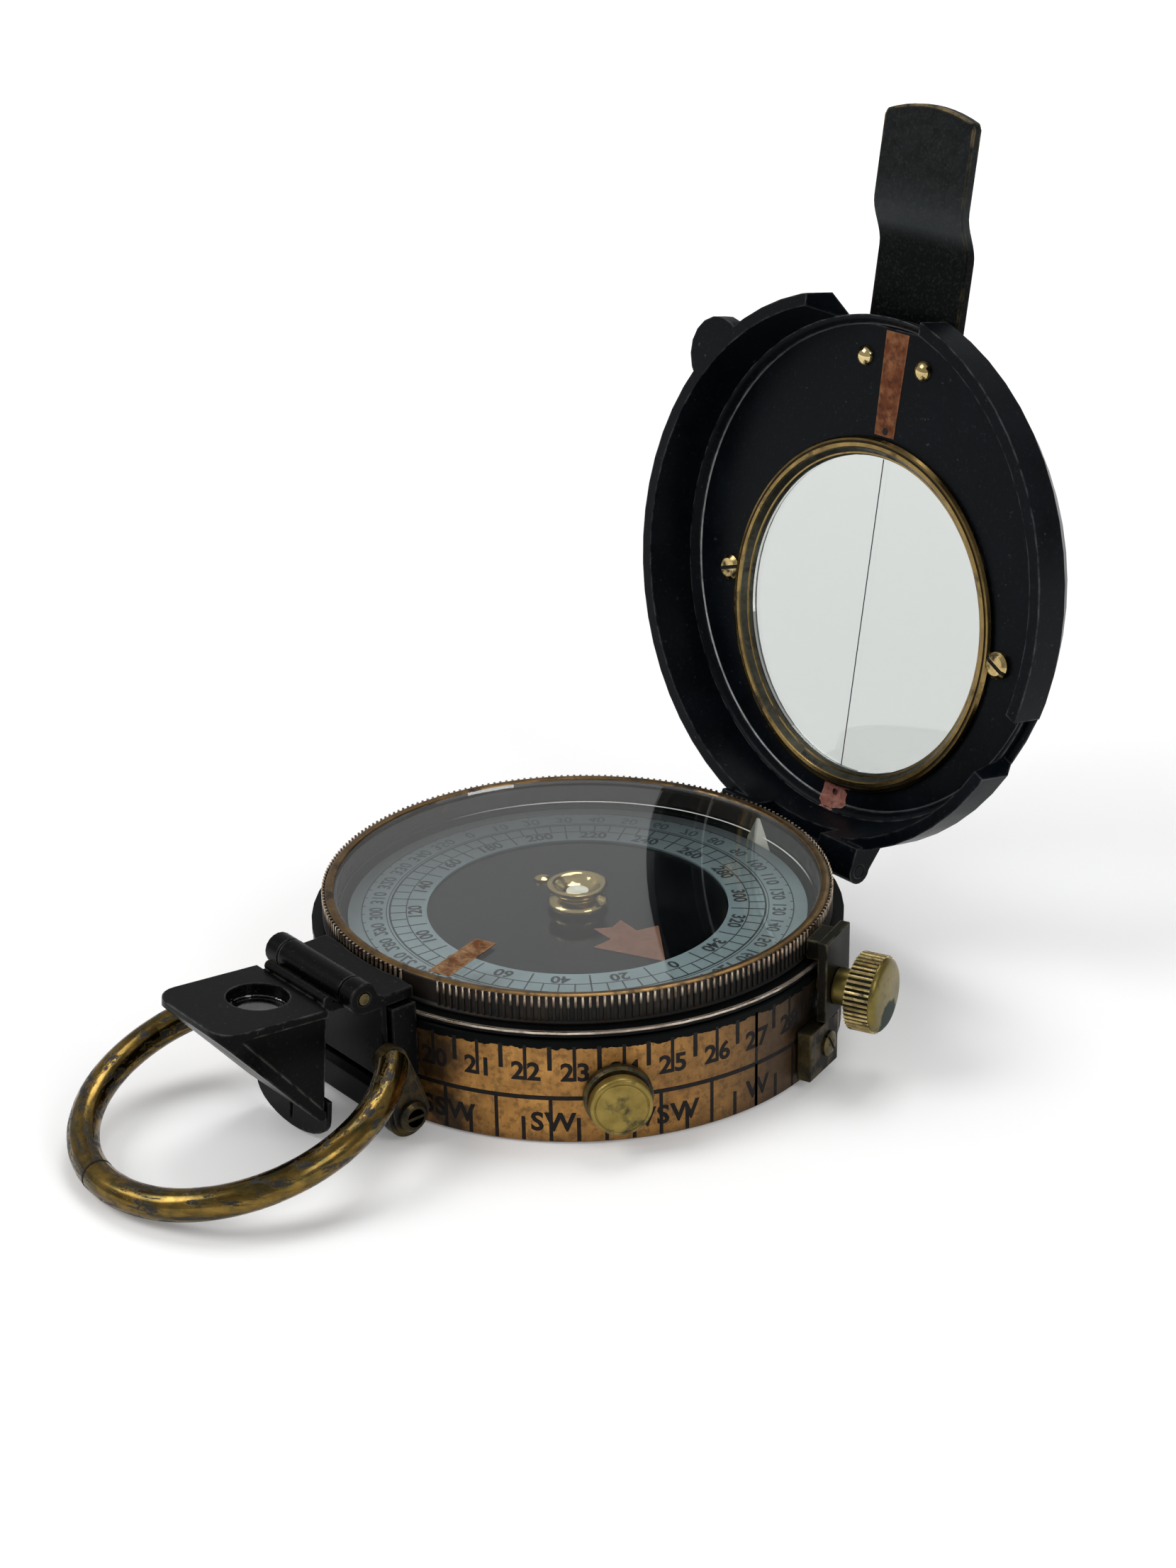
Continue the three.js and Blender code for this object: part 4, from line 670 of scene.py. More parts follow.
def fit(name, bm, look, body, slot, *replaced, place=UNMOVED, sharp=35.0):
    """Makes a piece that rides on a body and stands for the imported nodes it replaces."""
    return show(new_piece(name, bm, look, place, sharp), body, slot, *replaced)


def lathe(profile, segments=FINE):
    """A body of revolution about Z from (radius, height) points; a profile off the axis is closed on itself."""
    bm = bmesh.new()
    angles = [tau * i / segments for i in range(segments)]
    rings = []
    for radius, height in profile:
        if radius < ON_AXIS:
            rings.append([bm.verts.new((0, 0, height))] * len(angles))
        else:
            rings.append([bm.verts.new((radius * cos(a), radius * sin(a), height)) for a in angles])
    pairs = list(zip(rings, rings[1:]))
    if profile[0][0] > ON_AXIS and profile[-1][0] > ON_AXIS:
        pairs.append((rings[-1], rings[0]))
    for lower, upper in pairs:
        for i in range(segments):
            j = (i + 1) % segments
            corners = list(dict.fromkeys((lower[i], lower[j], upper[j], upper[i])))
            if len(corners) > 2:
                bm.faces.new(corners)
    return bm


def tube(inner, outer, low, high, segments=FINE):
    """A ring of square section, or a disc where inner is 0."""
    return lathe([(inner, low), (outer, low), (outer, high), (inner, high)], segments)


def prism(outline, low, high):
    """A flat outline in X and Y raised from low to high."""
    bm = bmesh.new()
    base = [bm.verts.new((x, y, low)) for x, y in outline]
    bm.faces.new(base)
    raised = bmesh.ops.extrude_face_region(bm, geom=bm.faces[:])
    tops = [item for item in raised["geom"] if isinstance(item, bmesh.types.BMVert)]
    bmesh.ops.translate(bm, verts=tops, vec=(0, 0, high - low))
    return bm


def round_outline(radius, steps):
    turns = [tau * i / steps for i in range(steps)]
    return [(radius * cos(turn), radius * sin(turn)) for turn in turns]


def soften(bm, width, segments=2, angle=30.0):
    edges = [edge for edge in bm.edges if edge.calc_face_angle(0.0) > radians(angle)]
    bmesh.ops.bevel(bm, geom=edges, offset=width, segments=segments, affect="EDGES", clamp_overlap=True)
    return bm


def dressed(node, look, width):
    """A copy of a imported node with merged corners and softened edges, which stands for the node."""
    mesh = frame["nodes"][node].data.copy()
    bm = bmesh.new()
    bm.from_mesh(mesh)
    bmesh.ops.remove_doubles(bm, verts=bm.verts, dist=0.002 * MM)
    bmesh.ops.dissolve_limit(bm, angle_limit=radians(0.6), verts=bm.verts, edges=bm.edges)
    for face in bm.faces:
        face.smooth = True
    bm.to_mesh(mesh)
    bm.free()
    piece = place_mesh(node + "_dressed", mesh, look)
    edge = piece.modifiers.new("edges", "BEVEL")
    edge.limit_method = "ANGLE"
    edge.angle_limit = radians(33)
    edge.width = width * MM
    edge.segments = 3
    piece.modifiers.new("normals", "WEIGHTED_NORMAL").keep_sharp = True
    made = evaluated_mesh(piece)
    piece.modifiers.clear()
    piece.data = made
    return show(piece, body_of[node], slot_of[node], node)


def lettering(words, size, bold, spacing):
    """A word as a flat mesh in X and Y, centred, in millimetres, its strokes made wider by bold."""
    curve = bpy.data.curves.new("letters", "FONT")
    curve.body = words
    curve.size = size
    curve.offset = bold
    curve.space_character = spacing
    curve.align_x = "CENTER"
    curve.align_y = "CENTER"
    curve.resolution_u = 3
    holder = linked("letters", curve)
    mesh = evaluated_mesh(holder)
    bpy.data.objects.remove(holder)
    bm = bmesh.new()
    bm.from_mesh(mesh)
    bpy.data.meshes.remove(mesh)
    return bm


def add_letters(target, words, size, put_point, flip=False, bold=0.0, spacing=1.0):
    """Adds a word to a mesh, with each of its points moved by put_point."""
    letters = lettering(words, size, bold, spacing)
    for vert in letters.verts:
        vert.co = put_point(vert.co.x, vert.co.y)
    if flip:
        bmesh.ops.reverse_faces(letters, faces=letters.faces)
    piece = bpy.data.meshes.new("word")
    letters.to_mesh(piece)
    letters.free()
    target.from_mesh(piece)
    bpy.data.meshes.remove(piece)


def printed(name, bm, look, body, slot):
    """A flat print, left facing as it was drawn."""
    bm.transform(Matrix.Scale(MM, 4))
    show(place_drawing(name, bm, look), body, slot)


# Marks and ridges set round a circle by Geometry Nodes

def round_tree(name, shape_inputs, make_shape):
    """A tree that sets a shape round Z: Count of them, from First by Step, at Radius and Level."""
    tree = bpy.data.node_groups.new(name, "GeometryNodeTree")
    number = "NodeSocketFloat"
    for label, kind in [("Count", "NodeSocketInt"), ("Radius", number), ("First", number), ("Step", number),
                        ("Level", number), *shape_inputs, ("Finish", "NodeSocketMaterial")]:
        tree.interface.new_socket(label, in_out="INPUT", socket_type=kind)
    tree.interface.new_socket("Geometry", in_out="OUTPUT", socket_type="NodeSocketGeometry")
    given = put(tree, "NodeGroupInput").outputs
    index = put(tree, "GeometryNodeInputIndex").outputs[0]
    angle = maths(tree, "ADD", given["First"], maths(tree, "MULTIPLY", index, given["Step"]))
    where = put(tree, "ShaderNodeCombineXYZ", {
        0: maths(tree, "MULTIPLY", given["Radius"], maths(tree, "COSINE", angle)),
        1: maths(tree, "MULTIPLY", given["Radius"], maths(tree, "SINE", angle)),
        2: given["Level"],
    })
    line = put(tree, "GeometryNodeMeshLine", {"Count": given["Count"]})
    points = put(tree, "GeometryNodeSetPosition", {"Geometry": line.outputs[0], "Position": where.outputs[0]})
    turn = put(tree, "ShaderNodeCombineXYZ", {2: angle})
    placed = put(tree, "GeometryNodeInstanceOnPoints", {
        "Points": points.outputs[0], "Instance": make_shape(tree, given), "Rotation": turn.outputs[0]})
    real = put(tree, "GeometryNodeRealizeInstances", {0: placed.outputs[0]})
    coated = put(tree, "GeometryNodeSetMaterial", {"Geometry": real.outputs[0], "Material": given["Finish"]})
    put(tree, "NodeGroupOutput", {0: coated.outputs[0]})
    return tree


def bar_shape(tree, given):
    return put(tree, "GeometryNodeMeshCube", {"Size": given["Size"]}).outputs["Mesh"]


def ridge_shape(tree, given):
    return put(tree, "GeometryNodeMeshCylinder", {"Vertices": 8, "Radius": given["Thickness"],
                                                  "Depth": given["Length"]}).outputs["Mesh"]


BARS_ROUND = round_tree("bars_round", [("Size", "NodeSocketVector")], bar_shape)
RIDGES_ROUND = round_tree("ridges_round", [("Thickness", "NodeSocketFloat"), ("Length", "NodeSocketFloat")],
                          ridge_shape)


def grown(name, tree, look, place=UNMOVED, **values):
    """Runs a tree once and keeps its result as a plain mesh; values are in millimetres and radians."""
    piece = linked(name, bpy.data.meshes.new(name))
    modifier = piece.modifiers.new("round", "NODES")
    modifier.node_group = tree
    sockets = {item.name: item.identifier for item in tree.interface.items_tree if item.in_out == "INPUT"}
    for key, value in values.items():
        modifier[sockets[key]] = value
    modifier[sockets["Finish"]] = FINISHES[look]
    made = evaluated_mesh(piece)
    bpy.data.objects.remove(piece)
    made.transform(Matrix.Scale(MM, 4) @ place)
    made.polygons.foreach_set("material_index", [0] * len(made.polygons))
    return place_mesh(name, made, look)


def joined(name, pieces, look, body, slot):
    """One mesh of several that share a body and a finish."""
    bm = bmesh.new()
    for piece in pieces:
        bm.from_mesh(piece.data)
        bpy.data.objects.remove(piece)
    show(place_drawing(name, bm, look), body, slot)


# The case

def make_case():
    dressed("case_drum", "ledge", 0.14)
    inner, low, high = BAND_RADIUS - 0.9, band_low.z, band_high.z
    sleeve = lathe([(inner, low), (BAND_RADIUS - 0.2, low), (BAND_RADIUS, low + 0.2), (BAND_RADIUS, high - 0.15),
                    (BAND_RADIUS - 0.15, high), (inner, high)])
    fit("scale_sleeve", sleeve, "band", "case", "band_brass", "scale_band")
    # Thin edge atop the inner wall, carrying a painted highlight round the back
    wall = lathe([(25.75, 12.74), (25.75, 12.8), (25.68, 12.83), (25.6, 12.8), (25.6, 12.74)])
    fit("wall_highlight_edge", wall, "wall", "case", "brass")


def make_index():
    """A pale wedge against the back wall whose ridge rises to a point below the glass."""
    bm = bmesh.new()
    low, foot, crest = sheet_low.z - 3.0, sheet_low.z - 0.2, 14.82
    wall, half, tip = 25.76, 2.1, 0.25
    corners = [(wall, half, foot), (wall, tip, crest), (wall, -tip, crest), (wall, -half, foot), (wall, -half, low),
               (wall, half, low), (25.0, 0, foot), (25.45, 0, crest), (25.0, 0, low)]
    verts = [bm.verts.new(corner) for corner in corners]
    for face in ((0, 1, 7, 6), (2, 3, 6, 7), (1, 2, 7), (0, 6, 8, 5), (3, 4, 8, 6), (5, 8, 4), (0, 5, 4, 3, 2, 1)):
        bm.faces.new([verts[i] for i in face])
    turned = Matrix.Rotation(INDEX_AZIMUTH, 4, "Z")
    fit("index_wedge", soften(bm, 0.06), "index", "case", "pale", "index_blade", place=turned)


def make_band_marks():
    """Degrees in tens above, winds below, cut into the band and filled black."""
    reach = BAND_RADIUS + INK_RAISE
    sunk = 0.1

    def ring_of(count, first, low, high, width):
        return grown("band_bars", BARS_ROUND, "band_ink", Count=count, Radius=BAND_RADIUS - sunk,
                     First=radians(first), Step=tau / count, Level=(low + high) / 2,
                     Size=(2 * (sunk + INK_RAISE), width, high - low))

    top, foot = BAND_BLACK + 0.3, 0.3
    bars = [
        ring_of(36, 0, BAND_DIGITS - 0.9, top, 0.36),
        ring_of(36, 5, BAND_DIGITS + 0.3, top, 0.46),
        ring_of(32, 0, foot, BAND_MIDDLE, 0.38),
        ring_of(32, 5.625, foot, BAND_LETTERS + 0.6, 0.4),
        ring_of(4, 0, foot, top, 0.34),
        new_piece("band_line", tube(BAND_RADIUS - 0.05, reach, BAND_MIDDLE - 0.24, BAND_MIDDLE + 0.24), "band_ink"),
    ]
    joined("band_marks", bars, "band_ink", "case", "band_brass")
    letters = bmesh.new()

    def write(words, size, azimuth, level, bold, spacing=1.0):
        def wrap(x, y):
            return out_from_axis(radians(azimuth) + x / BAND_RADIUS) * reach + Vector((0, 0, level + y))
        add_letters(letters, words, size, wrap, bold=bold, spacing=spacing)

    for tens in range(1, 37):
        digits = str(tens)
        for digit, aside in zip(digits, (-1.5, 1.75) if len(digits) == 2 else (1.7,)):
            write(digit, 2.8, tens * 10 - 270 + aside, BAND_DIGITS, bold=0.085)
    for turn, wind in enumerate("N NNE NE ENE E ESE SE SSE S SSW SW WSW W WNW NW NNW".split()):
        write(wind, 2.9, turn * 22.5 - 269.6, BAND_LETTERS, bold=0.09, spacing=1.12)
    printed("band_letters", letters, "band_ink", "case", "band_brass")


# The bezel

def make_bezel():
    top, low = bezel_high.z, bezel_low.z
    bore, skirt = glass_high.x + 0.1, low + 0.5
    body = lathe([
        (bore - 0.7, low), (BEZEL_RADIUS - 0.15, low), (BEZEL_RADIUS, low + 0.15), (BEZEL_RADIUS, skirt - 0.2),
        (BEZEL_RADIUS - 0.28, skirt), (BEZEL_RADIUS - 0.28, top - 0.35), (BEZEL_RADIUS - 0.4, top - 0.12),
        (BEZEL_RADIUS - 0.6, top), (bore, top), (bore, glass_low.z - 0.05), (bore - 0.7, glass_low.z - 0.05),
    ])
    fit("bezel_body", body, "bezel", "bezel", "bronze", "bezel_ring")
    ridge_top = top - 0.09
    ridges = grown("bezel_knurl", RIDGES_ROUND, "knurl", Count=KNURL_COUNT, Radius=BEZEL_RADIUS - 0.16,
                   First=KNURL_GAP_AZIMUTH + KNURL_GAP / 2, Step=(tau - KNURL_GAP) / (KNURL_COUNT - 1),
                   Level=(skirt + ridge_top) / 2, Thickness=0.145, Length=ridge_top - skirt)
    show(ridges, "bezel", "bronze")
    edge = BEZEL_RADIUS - 0.6
    rim = lathe([(bore - 0.42, top - 0.17), (bore - 0.34, top - 0.05), (bore + 0.02, top + 0.03), (edge, top + 0.01),
                 (edge + 0.22, top - 0.13), (edge + 0.2, top - 0.18), (bore - 0.05, top - 0.19)])
    fit("bezel_bright_rim", rim, "rim_gold", "bezel", "brass", "glass_ring")
    pane = soften(tube(0, glass_high.x, glass_low.z, glass_high.z), 0.06)
    fit("bezel_pane", pane, "glass", "bezel", "glass", "bezel_glass")
    half = 1.2
    wide = half * 1.08
    outline = [(17.4, -half), (17.25, half), (25.7, wide), (25.7, -wide)]
    strip = soften(prism(outline, glass_high.z + 0.01, glass_high.z + 0.07), 0.02, 1)
    fit("glass_mark", strip, "glass_paint", "bezel", "pale", place=Matrix.Rotation(GLASS_STRIP_AZIMUTH, 4, "Z"))


# The card

def make_card():
    base = sheet_high.z
    fit("card_disc", tube(CARD_HOLE, sheet_high.x, sheet_low.z, base), "card_black", "card", "black_enamel",
        "card_sheet")
    ring = tube(CARD_BLACK_RADIUS, card_high.x, base + 0.02, card_high.z)
    fit("card_pearl", ring, "pearl", "card", "pearl", "card_scale_ring")


def make_card_middle():
    base = sheet_high.z
    arrow = [(16.2, 0), (9.1, 4.2), (8.7, 1.65), (5.6, 1.75), (6.5, 0), (5.6, -1.75), (8.7, -1.65), (9.1, -4.2)]
    fit("card_arrow", prism(arrow, base + 0.01, base + 0.06), "arrow_paint", "card", "pale", place=on_card)
    spool = lathe([
        (0, 13.75), (0.9, 13.75), (1.6, 13.95), (2.2, 14.45), (2.55, 14.74), (2.95, 14.8), (3.24, 14.72), (3.3, 14.5),
        (3.12, 14.22), (2.6, 13.95), (2.3, 13.7), (2.28, 13.45), (2.5, 13.25), (3.0, 13.05), (3.27, 12.8),
        (3.3, 12.5), (3.15, 12.2), (2.9, 12.05), (1.4, 12.05), (1.4, 12.4), (1.3, 13.6), (0, 13.6),
    ], MEDIUM)
    fit("card_spool", spool, "polished", "card", "brass", "card_cap", sharp=50)
    weight = lathe([(0, 12.55), (0.55, 12.5), (0.9, 12.3), (0.95, 12.05), (0, 12.05)], COARSE)
    fit("card_balance", weight, "polished", "card", "brass", place=Matrix.Translation((-7.6, 1.2, 0)))


def make_card_marks():
    """Two rings of numbers, the inner one upright and the outer one to be read through the prism."""
    top = card_high.z

    def ticks(count, inner, outer, width, first=0.0):
        return grown("card_ticks", BARS_ROUND, "card_ink", on_card, Count=count, Radius=(inner + outer) / 2,
                     First=radians(first), Step=tau / count, Level=top,
                     Size=(outer - inner, width, 2 * INK_RAISE))

    def circle(radius, width):
        return new_piece("card_circle", tube(radius, radius + width, top - 0.05, top + INK_RAISE), "card_ink")

    lines = [ticks(72, 18.5, 20.3, 0.15), ticks(18, 16.6, 18.5, 0.17, 10), ticks(72, 22.95, 23.3, 0.13),
             circle(18.45, 0.12), circle(20.2, 0.2), circle(20.6, 0.09), circle(23.25, 0.12)]
    joined("card_lines", lines, "card_ink", "card", "pearl")

    def write(target, value, size, turn, radius, bold, mirrored=False):
        azimuth = CARD_TURN - radians(value + turn)
        out = out_from_axis(azimuth)
        along = Vector((sin(azimuth), -cos(azimuth), 0))
        way = -1 if mirrored else 1

        def stand(x, y):
            return out * (radius + way * y) + along * x + Vector((0, 0, top + INK_RAISE))
        add_letters(target, str(value), size, stand, flip=mirrored, bold=bold)

    inner_numbers, outer_numbers = bmesh.new(), bmesh.new()
    for value in range(0, 360, 20):
        write(inner_numbers, value, 2.05, 0, 17.5, 0.06)
    for value in range(0, 360, 10):
        write(outer_numbers, value, 2.0, 180, 21.85, 0.05, mirrored=True)
    printed("card_numbers", inner_numbers, "card_ink", "card", "pearl")
    printed("card_outer_numbers", outer_numbers, "faded_ink", "card", "pearl")


# The lid, drawn as it lies when closed, with heights from its plate's lower face

def make_lid():
    dressed("lid_rim", "enamel", 0.2)
    dressed("lid_plate", "enamel", 0.12)
    dressed("lid_tongue", "tongue_black", 0.2)
    seam = lathe([(27.5, -0.04), (27.7, -0.3), (27.95, -0.66), (28.2, -0.9), (28.5, -0.95),
                  (28.55, -0.6), (28.3, -0.05)])
    fit("lid_fillet", seam, "enamel", "lid", "black_enamel", place=in_lid)
    # Pale edge line round the plate: wear, with a painted highlight low on its left
    line = lathe([(27.38, 0), (27.42, -0.09), (27.52, -0.12), (27.6, -0.09), (27.62, 0)])
    fit("lid_worn_highlit_line", line, "lid_line", "lid", "black_enamel", place=in_lid)


def make_window():
    back = 1.4
    at_window = in_lid @ Matrix.Translation((0, WINDOW_OFFSET, 0))
    flange = lathe([
        (WINDOW_OPENING, 0.3), (19.0, -0.66), (19.12, -0.76), (19.54, -0.76), (19.6, -0.6), (19.76, -0.6),
        (19.82, -0.74), (20.05, -0.7), (20.27, -0.4), (20.27, -0.1), (18.3, -0.1), (18.3, back), (WINDOW_OPENING, back),
    ])
    fit("window_flange", flange, "brass", "lid", "brass", "window_ring", place=at_window)
    fit("window_groove", tube(19.54, 19.82, -0.68, -0.6), "groove", "lid", "brass", place=at_window)
    inner, behind = WINDOW_OPENING - 0.03, back - 0.05
    wall = lathe([(inner, behind), (inner, 0.3), (18.97, -0.65), (19.03, -0.66), (inner + 0.05, 0.34),
                  (inner + 0.05, behind)])
    fit("window_inner_wall", wall, "wall_grey", "lid", "brass", place=at_window)
    pane = soften(tube(0, WINDOW_OPENING - 0.06, 0.5, 1.2), 0.05)
    fit("window_pane", pane, "window", "lid", "glass", "window_glass", place=at_window)
    half = 0.045
    wire = prism([(-half, -18), (half, -18), (half, 18), (-half, 18)], 0.4, 0.47)
    fit("sighting_wire", wire, "card_ink", "lid", "steel", place=at_window)


def make_lid_marks():
    strip = prism([(-1.75, -26.9), (1.75, -26.9), (1.5, -15.3), (-1.5, -15.3)], -0.06, 0.02)
    fit("lid_upper_mark", soften(strip, 0.02, 1), "lid_paint", "lid", "pale", place=in_lid)
    outline = [(-1.7, 25.6), (-0.7, 25.45), (0.2, 25.66), (1.3, 25.5), (2.0, 26.1), (1.85, 26.8), (2.1, 27.4),
               (1.75, 28.0), (1.1, 28.15), (0.6, 28.4), (-0.4, 28.3), (-1.1, 28.38), (-1.75, 27.95), (-2.05, 27.3),
               (-1.8, 26.5)]
    crumbs = prism(outline, -0.08, 0)
    bmesh.ops.poke(crumbs, faces=[side for side in crumbs.faces if len(side.verts) > 4])
    seam_start, seam_slope = 27.4, 0.95
    for vert in crumbs.verts:
        vert.co.z -= seam_slope * max(0.0, vert.co.xy.length - seam_start)
    fit("lid_lower_mark", crumbs, "lid_patch", "lid", "pale", place=in_lid)
    for name, y in (("lid_upper_hole", -15.9), ("lid_lower_hole", 26.4)):
        dot = prism(round_outline(0.42, 16), -0.08, 0)
        fit(name, dot, "band_ink", "lid", "black_enamel", place=in_lid @ Matrix.Translation((0.1, y, 0)))


def make_lid_fixings():
    for side, name, slant in ((1, "right", 0.45), (-1, "left", -0.3)):
        dome = lathe([(0, -0.8), (0.45, -0.76), (0.85, -0.58), (1.1, -0.3), (1.14, -0.05), (0.5, -0.05), (0.5, 1.7),
                      (0, 1.7)], COARSE)
        place = in_lid @ Matrix.Translation((side * RIVET_X, RIVET_OFFSET, 0))
        fit("rivet_dome_" + name, dome, "polished", "lid", "brass", "tongue_rivet_" + name, place=place)
        place = in_lid @ Matrix.Translation((side * SCREW_X, SCREW_OFFSET, 0)) @ Matrix.Rotation(slant, 4, "Z")
        head = slotted_head(1.5, -0.82, -0.05, 0.46)
        fit("window_fixing_" + name, head, "screw", "lid", "brass", "window_screw_" + name, place=place)
        slot = prism([(-1.38, -0.21), (1.38, -0.21), (1.38, 0.21), (-1.38, 0.21)], -0.68, -0.4)
        fit("window_slot_" + name, slot, "band_ink", "lid", "brass", place=place)


def slotted_head(radius, top, seat, slot):
    """A low round screw head about Z with a slot across it."""
    bm = bmesh.new()
    steps, crown = 24, 0.72
    start = asin(slot / radius / 2)
    arc = [start + (pi - 2 * start) * i / steps for i in range(steps + 1)]
    for side in (1, -1):
        rim = [(radius * cos(a), side * radius * sin(a)) for a in arc]
        inner = [(crown * x, side * max(slot / 2, crown * abs(y))) for x, y in rim]
        levels = [[bm.verts.new((x, y, height)) for x, y in outline] for outline, height in (
            (rim, seat), (rim, seat + (top - seat) * 0.55), (inner, top))]
        for lower, upper in zip(levels, levels[1:]):
            for i in range(steps):
                bm.faces.new((lower[i], lower[i + 1], upper[i + 1], upper[i]))
        bm.faces.new(levels[2])
        bm.faces.new(levels[0])
        bm.faces.new([levels[0][0], levels[1][0], levels[2][0], levels[2][-1], levels[1][-1], levels[0][-1]])
    floor = top + (seat - top) * 0.45
    bm.faces.new([bm.verts.new((x, y, floor)) for x, y in round_outline(0.97 * radius, 32)])
    return bm


# The prism unit, the thumb ring, the button and the clamp

def make_prism():
    for node in ("prism_box", "prism_slide", "prism_guide", "sight_plate"):
        dressed(node, "prism_black", 0.14)
    lens = lathe([(0, -2.35), (LENS_RADIUS, -2.3), (LENS_RADIUS, -1.95), (LENS_RADIUS * 0.62, -1.8), (0, -1.72)],
                 MEDIUM)
    place = in_prism @ Matrix.Translation((0, -LENS_PLACE, 0))
    fit("eye_lens", lens, "glass", "prism", "glass", "prism_lens", place=place, sharp=50)


def make_ring():
    reach = sqrt(RING_RADIUS ** 2 - RING_END_X ** 2)
    spread = acos(-reach / RING_RADIUS)
    slope = Vector((0, -cos(RING_SLOPE), -sin(RING_SLOPE)))

    def on_bow(angle):
        return RING_CENTRE + Vector((RING_RADIUS * sin(angle), 0, 0)) + slope * (RING_RADIUS * cos(angle))

    def sideways(side, y=0, z=0):
        return Matrix(((0, 0, side, 0), (1, 0, 0, y), (0, 1, 0, z), (0, 0, 0, 1)))

    curve = bpy.data.curves.new("bow", "CURVE")
    curve.dimensions = "3D"
    curve.bevel_depth = RING_WIRE * MM
    curve.bevel_resolution = 8
    curve.use_fill_caps = True
    steps = 180
    line = curve.splines.new("POLY")
    line.points.add(steps)
    for i, point in enumerate(line.points):
        point.co = (*(on_bow(spread * (2 * i / steps - 1)) * MM), 1)
    line.use_smooth = True
    holder = linked("bow", curve)
    mesh = evaluated_mesh(holder)
    bpy.data.objects.remove(holder)
    show(place_mesh("thumb_bow", mesh, "ring"), "ring", "bronze", "thumb_ring")
    end = RING_CENTRE - slope * reach
    for side, name in ((1, "right"), (-1, "left")):
        outline = wrapped((RING_PIVOT.y, RING_PIVOT.z), 2.5, (end.y, end.z), RING_WIRE + 0.1)
        eye = soften(prism(outline, 8.55, 10.65), 0.45, 4)
        fit("thumb_eye_" + name, eye, "eye", "ring", "bronze", place=sideways(side))
        head = slotted_head(1.4, 11.4, 10.72, 0.34)
        place = sideways(side, RING_PIVOT.y, RING_PIVOT.z)
        fit("thumb_screw_" + name, head, "gunmetal", "case", "brass", place=place)
    cut = tube(RING_WIRE - 0.3, RING_WIRE + 0.02, -0.13, 0.13, 48)
    along = Vector((cos(RING_CUT), 0, 0)) - slope * sin(RING_CUT)
    place = Matrix.Translation(on_bow(RING_CUT)) @ turned_to(along)
    fit("thumb_bow_joint", cut, "band_ink", "ring", "bronze", place=place)


def wrapped(first, first_radius, second, second_radius):
    """The outline that wraps two circles in Y and Z."""
    along = atan2(second[1] - first[1], second[0] - first[0])
    lean = acos((first_radius - second_radius) / dist(first, second))
    points = []
    for middle, radius, start, sweep, steps in (
        (first, first_radius, along + lean, tau - 2 * lean, 24),
        (second, second_radius, along - lean, 2 * lean, 16),
    ):
        for i in range(steps + 1):
            angle = start + sweep * i / steps
            points.append((middle[0] + radius * cos(angle), middle[1] + radius * sin(angle)))
    return points


def make_button():
    collar = lathe([(1.4, 28.7), (3.45, 28.7), (3.55, 28.8), (3.55, 29.45), (3.3, 29.75), (1.4, 29.75)], MEDIUM)
    fit("button_collar", collar, "collar", "case", "brass", "button_bush", place=at_button)
    disc = lathe([(0, 25.6), (1.3, 25.6), (1.3, 30.3), (3.1, 30.3), (3.2, 30.4), (3.2, 31.3), (3.12, 31.5),
                  (2.95, 31.6), (2.8, 31.6), (2.74, 31.53), (2.66, 31.53), (2.6, 31.62), (1.6, 31.66), (0, 31.68)],
                 MEDIUM)
    fit("button_disc", disc, "button", "button", "brass", "check_button", place=at_button, sharp=40)


def make_clamp():
    dressed("clamp_jaw", "gunmetal", 0.16)
    dressed("clamp_foot", "foot_brass", 0.16)
    core, low, top = CLAMP_CORE_RADIUS, CLAMP_HEAD_START, CLAMP_HEAD_END
    head = lathe([(0, 26.2), (1.2, 26.2), (1.2, 30.6), (2.0, 30.6), (2.0, low), (core - 0.1, low), (core, low + 0.15),
                  (core, top - 0.7), (core - 0.1, top - 0.38), (core - 0.45, top - 0.12), (core - 0.9, top - 0.02),
                  (0, top)], MEDIUM)
    fit("clamp_head", head, "clamp", "clamp", "brass", "clamp_screw", place=at_clamp, sharp=40)
    ridges = grown("clamp_knurl", RIDGES_ROUND, "clamp_ridge_highlit", at_clamp, Count=CLAMP_KNURL_COUNT, Radius=core,
                   First=0.0, Step=tau / CLAMP_KNURL_COUNT, Level=(low + top - 0.6) / 2, Thickness=0.19,
                   Length=top - low - 0.7)
    show(ridges, "clamp", "brass")
    # A dark sleeve under the ridges: painted shade in the gaps between them
    root = tube(core - 0.1, core + 0.03, low + 0.12, top - 0.72, MEDIUM)
    fit("clamp_knurl_shaded_root", root, "clamp_core_shaded", "clamp", "brass", place=at_clamp)
    at_foot = facing(out_from_axis(FOOT_SCREW_AZIMUTH), FOOT_SCREW_LEVEL)
    screw = slotted_head(1.35, 30.8, 30.28, 0.32)
    fit("foot_screw", screw, "collar", "case", "brass", place=at_foot @ Matrix.Rotation(0.9, 4, "Z"))


def make_lifter():
    """The lever with its arm a little thinner than its solid, so that it clears the magnets at full lift."""
    lever = dressed("lifter_lever", "brass", 0.04)
    for vert in lever.data.vertices:
        if abs(vert.co.z - LEVER_ARM_TOP * MM) < 0.1 * MM:
            vert.co.z -= LEVER_RELIEF * MM


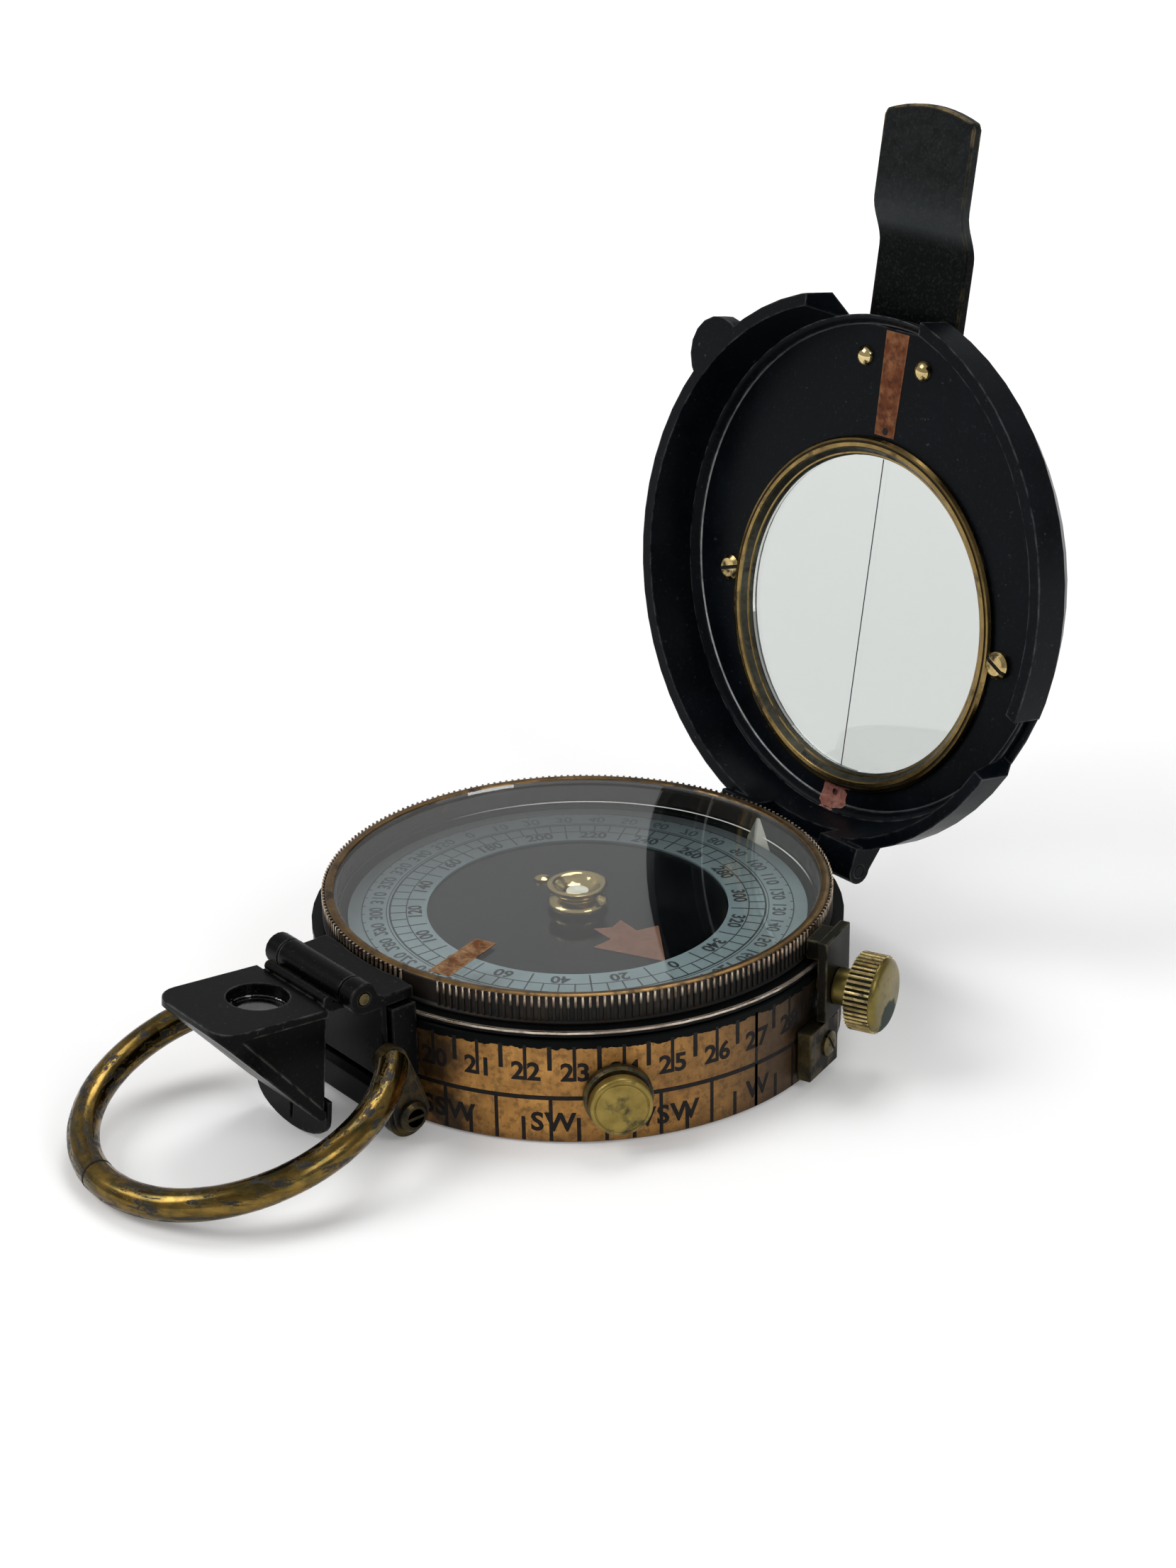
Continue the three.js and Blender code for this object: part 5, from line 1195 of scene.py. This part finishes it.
def finish_the_rest():
    """Brackets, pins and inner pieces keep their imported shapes."""
    looks = {"black_enamel": "enamel", "brass": "brass", "band_brass": "band", "bronze": "bezel", "glass": "glass",
             "pearl": "pearl", "steel": "steel", "pale": "bone"}
    own = {"lid_hinge_pin": "pin_black", "prism_hinge_pin": "collar", "ring_screw_left": "eye",
           "ring_screw_right": "eye", "prism_glass": "shade_tinted"}
    for node in ("lid_hinge_bracket", "ring_bracket"):
        dressed(node, "enamel", 0.14)
    for name, node in frame["nodes"].items():
        if not node.hide_render:
            node.data.materials.clear()
            node.data.materials.append(FINISHES[own.get(name, looks[slot_of[name]])])


# Floor, light and camera

def make_studio():
    bm = bmesh.new()
    half, level = 4000.0, -0.05
    bm.faces.new([bm.verts.new((x * half, y * half, level)) for x, y in ((-1, -1), (1, -1), (1, 1), (-1, 1))])
    new_piece("floor", bm, "floor")
    scene = bpy.context.scene
    scene.view_settings.view_transform = "Standard"
    world = bpy.data.worlds.new("studio")
    scene.world = world
    world.use_nodes = True
    back = world.node_tree.nodes["Background"]
    back.inputs["Color"].default_value = (1.0, 1.0, 1.0, 1.0)
    back.inputs["Strength"].default_value = 0.42
    aim = Vector((0, 0, 0.03))
    for name, place, size, power in (
        ("key_softbox", (-0.45, -0.75, 0.85), 0.6, 5.5),
        ("side_softbox", (0.85, 0.05, 0.6), 0.4, 2.0),
        ("top_softbox", (-0.2, 0.35, 1.0), 0.5, 3.4),
    ):
        lamp = bpy.data.lights.new(name, "AREA")
        lamp.size = size
        lamp.energy = power
        holder = linked(name, lamp)
        holder.location = place
        holder.rotation_euler = (aim - Vector(place)).to_track_quat("-Z", "Y").to_euler()


def make_camera():
    """The photograph's viewpoint: turned round the case, then nudged by a small roll, yaw and pitch."""
    around, above, away = radians(51.322), radians(25.087), 306.026
    roll, yaw, pitch = radians(-1.248), radians(0.233), radians(1.195)
    back = Vector((sin(around) * cos(above), -cos(around) * cos(above), sin(above)))
    right = out_from_axis(around)
    up = back.cross(right)
    right, up = cos(roll) * right + sin(roll) * up, cos(roll) * up - sin(roll) * right
    ahead = -back
    right, ahead = cos(yaw) * right - sin(yaw) * ahead, sin(yaw) * right + cos(yaw) * ahead
    up, ahead = cos(pitch) * up - sin(pitch) * ahead, sin(pitch) * up + cos(pitch) * ahead
    lens = bpy.data.cameras.new("camera")
    lens.sensor_fit = "VERTICAL"
    lens.sensor_height = 36.0
    lens.lens = 65.6
    lens.clip_start = 0.01
    camera = linked("camera", lens)
    spot = Vector((0, 0, 20)) + back * away
    turn = Matrix((right, up, -ahead)).transposed().to_4x4()
    camera.matrix_world = Matrix.Translation(spot * MM) @ turn
    bpy.context.scene.camera = camera


for make in (make_case, make_index, make_band_marks, make_bezel, make_card, make_card_marks, make_card_middle,
             make_lid, make_window, make_lid_marks, make_lid_fixings, make_prism, make_ring, make_button, make_clamp,
             make_lifter, finish_the_rest, make_studio, make_camera):
    make()
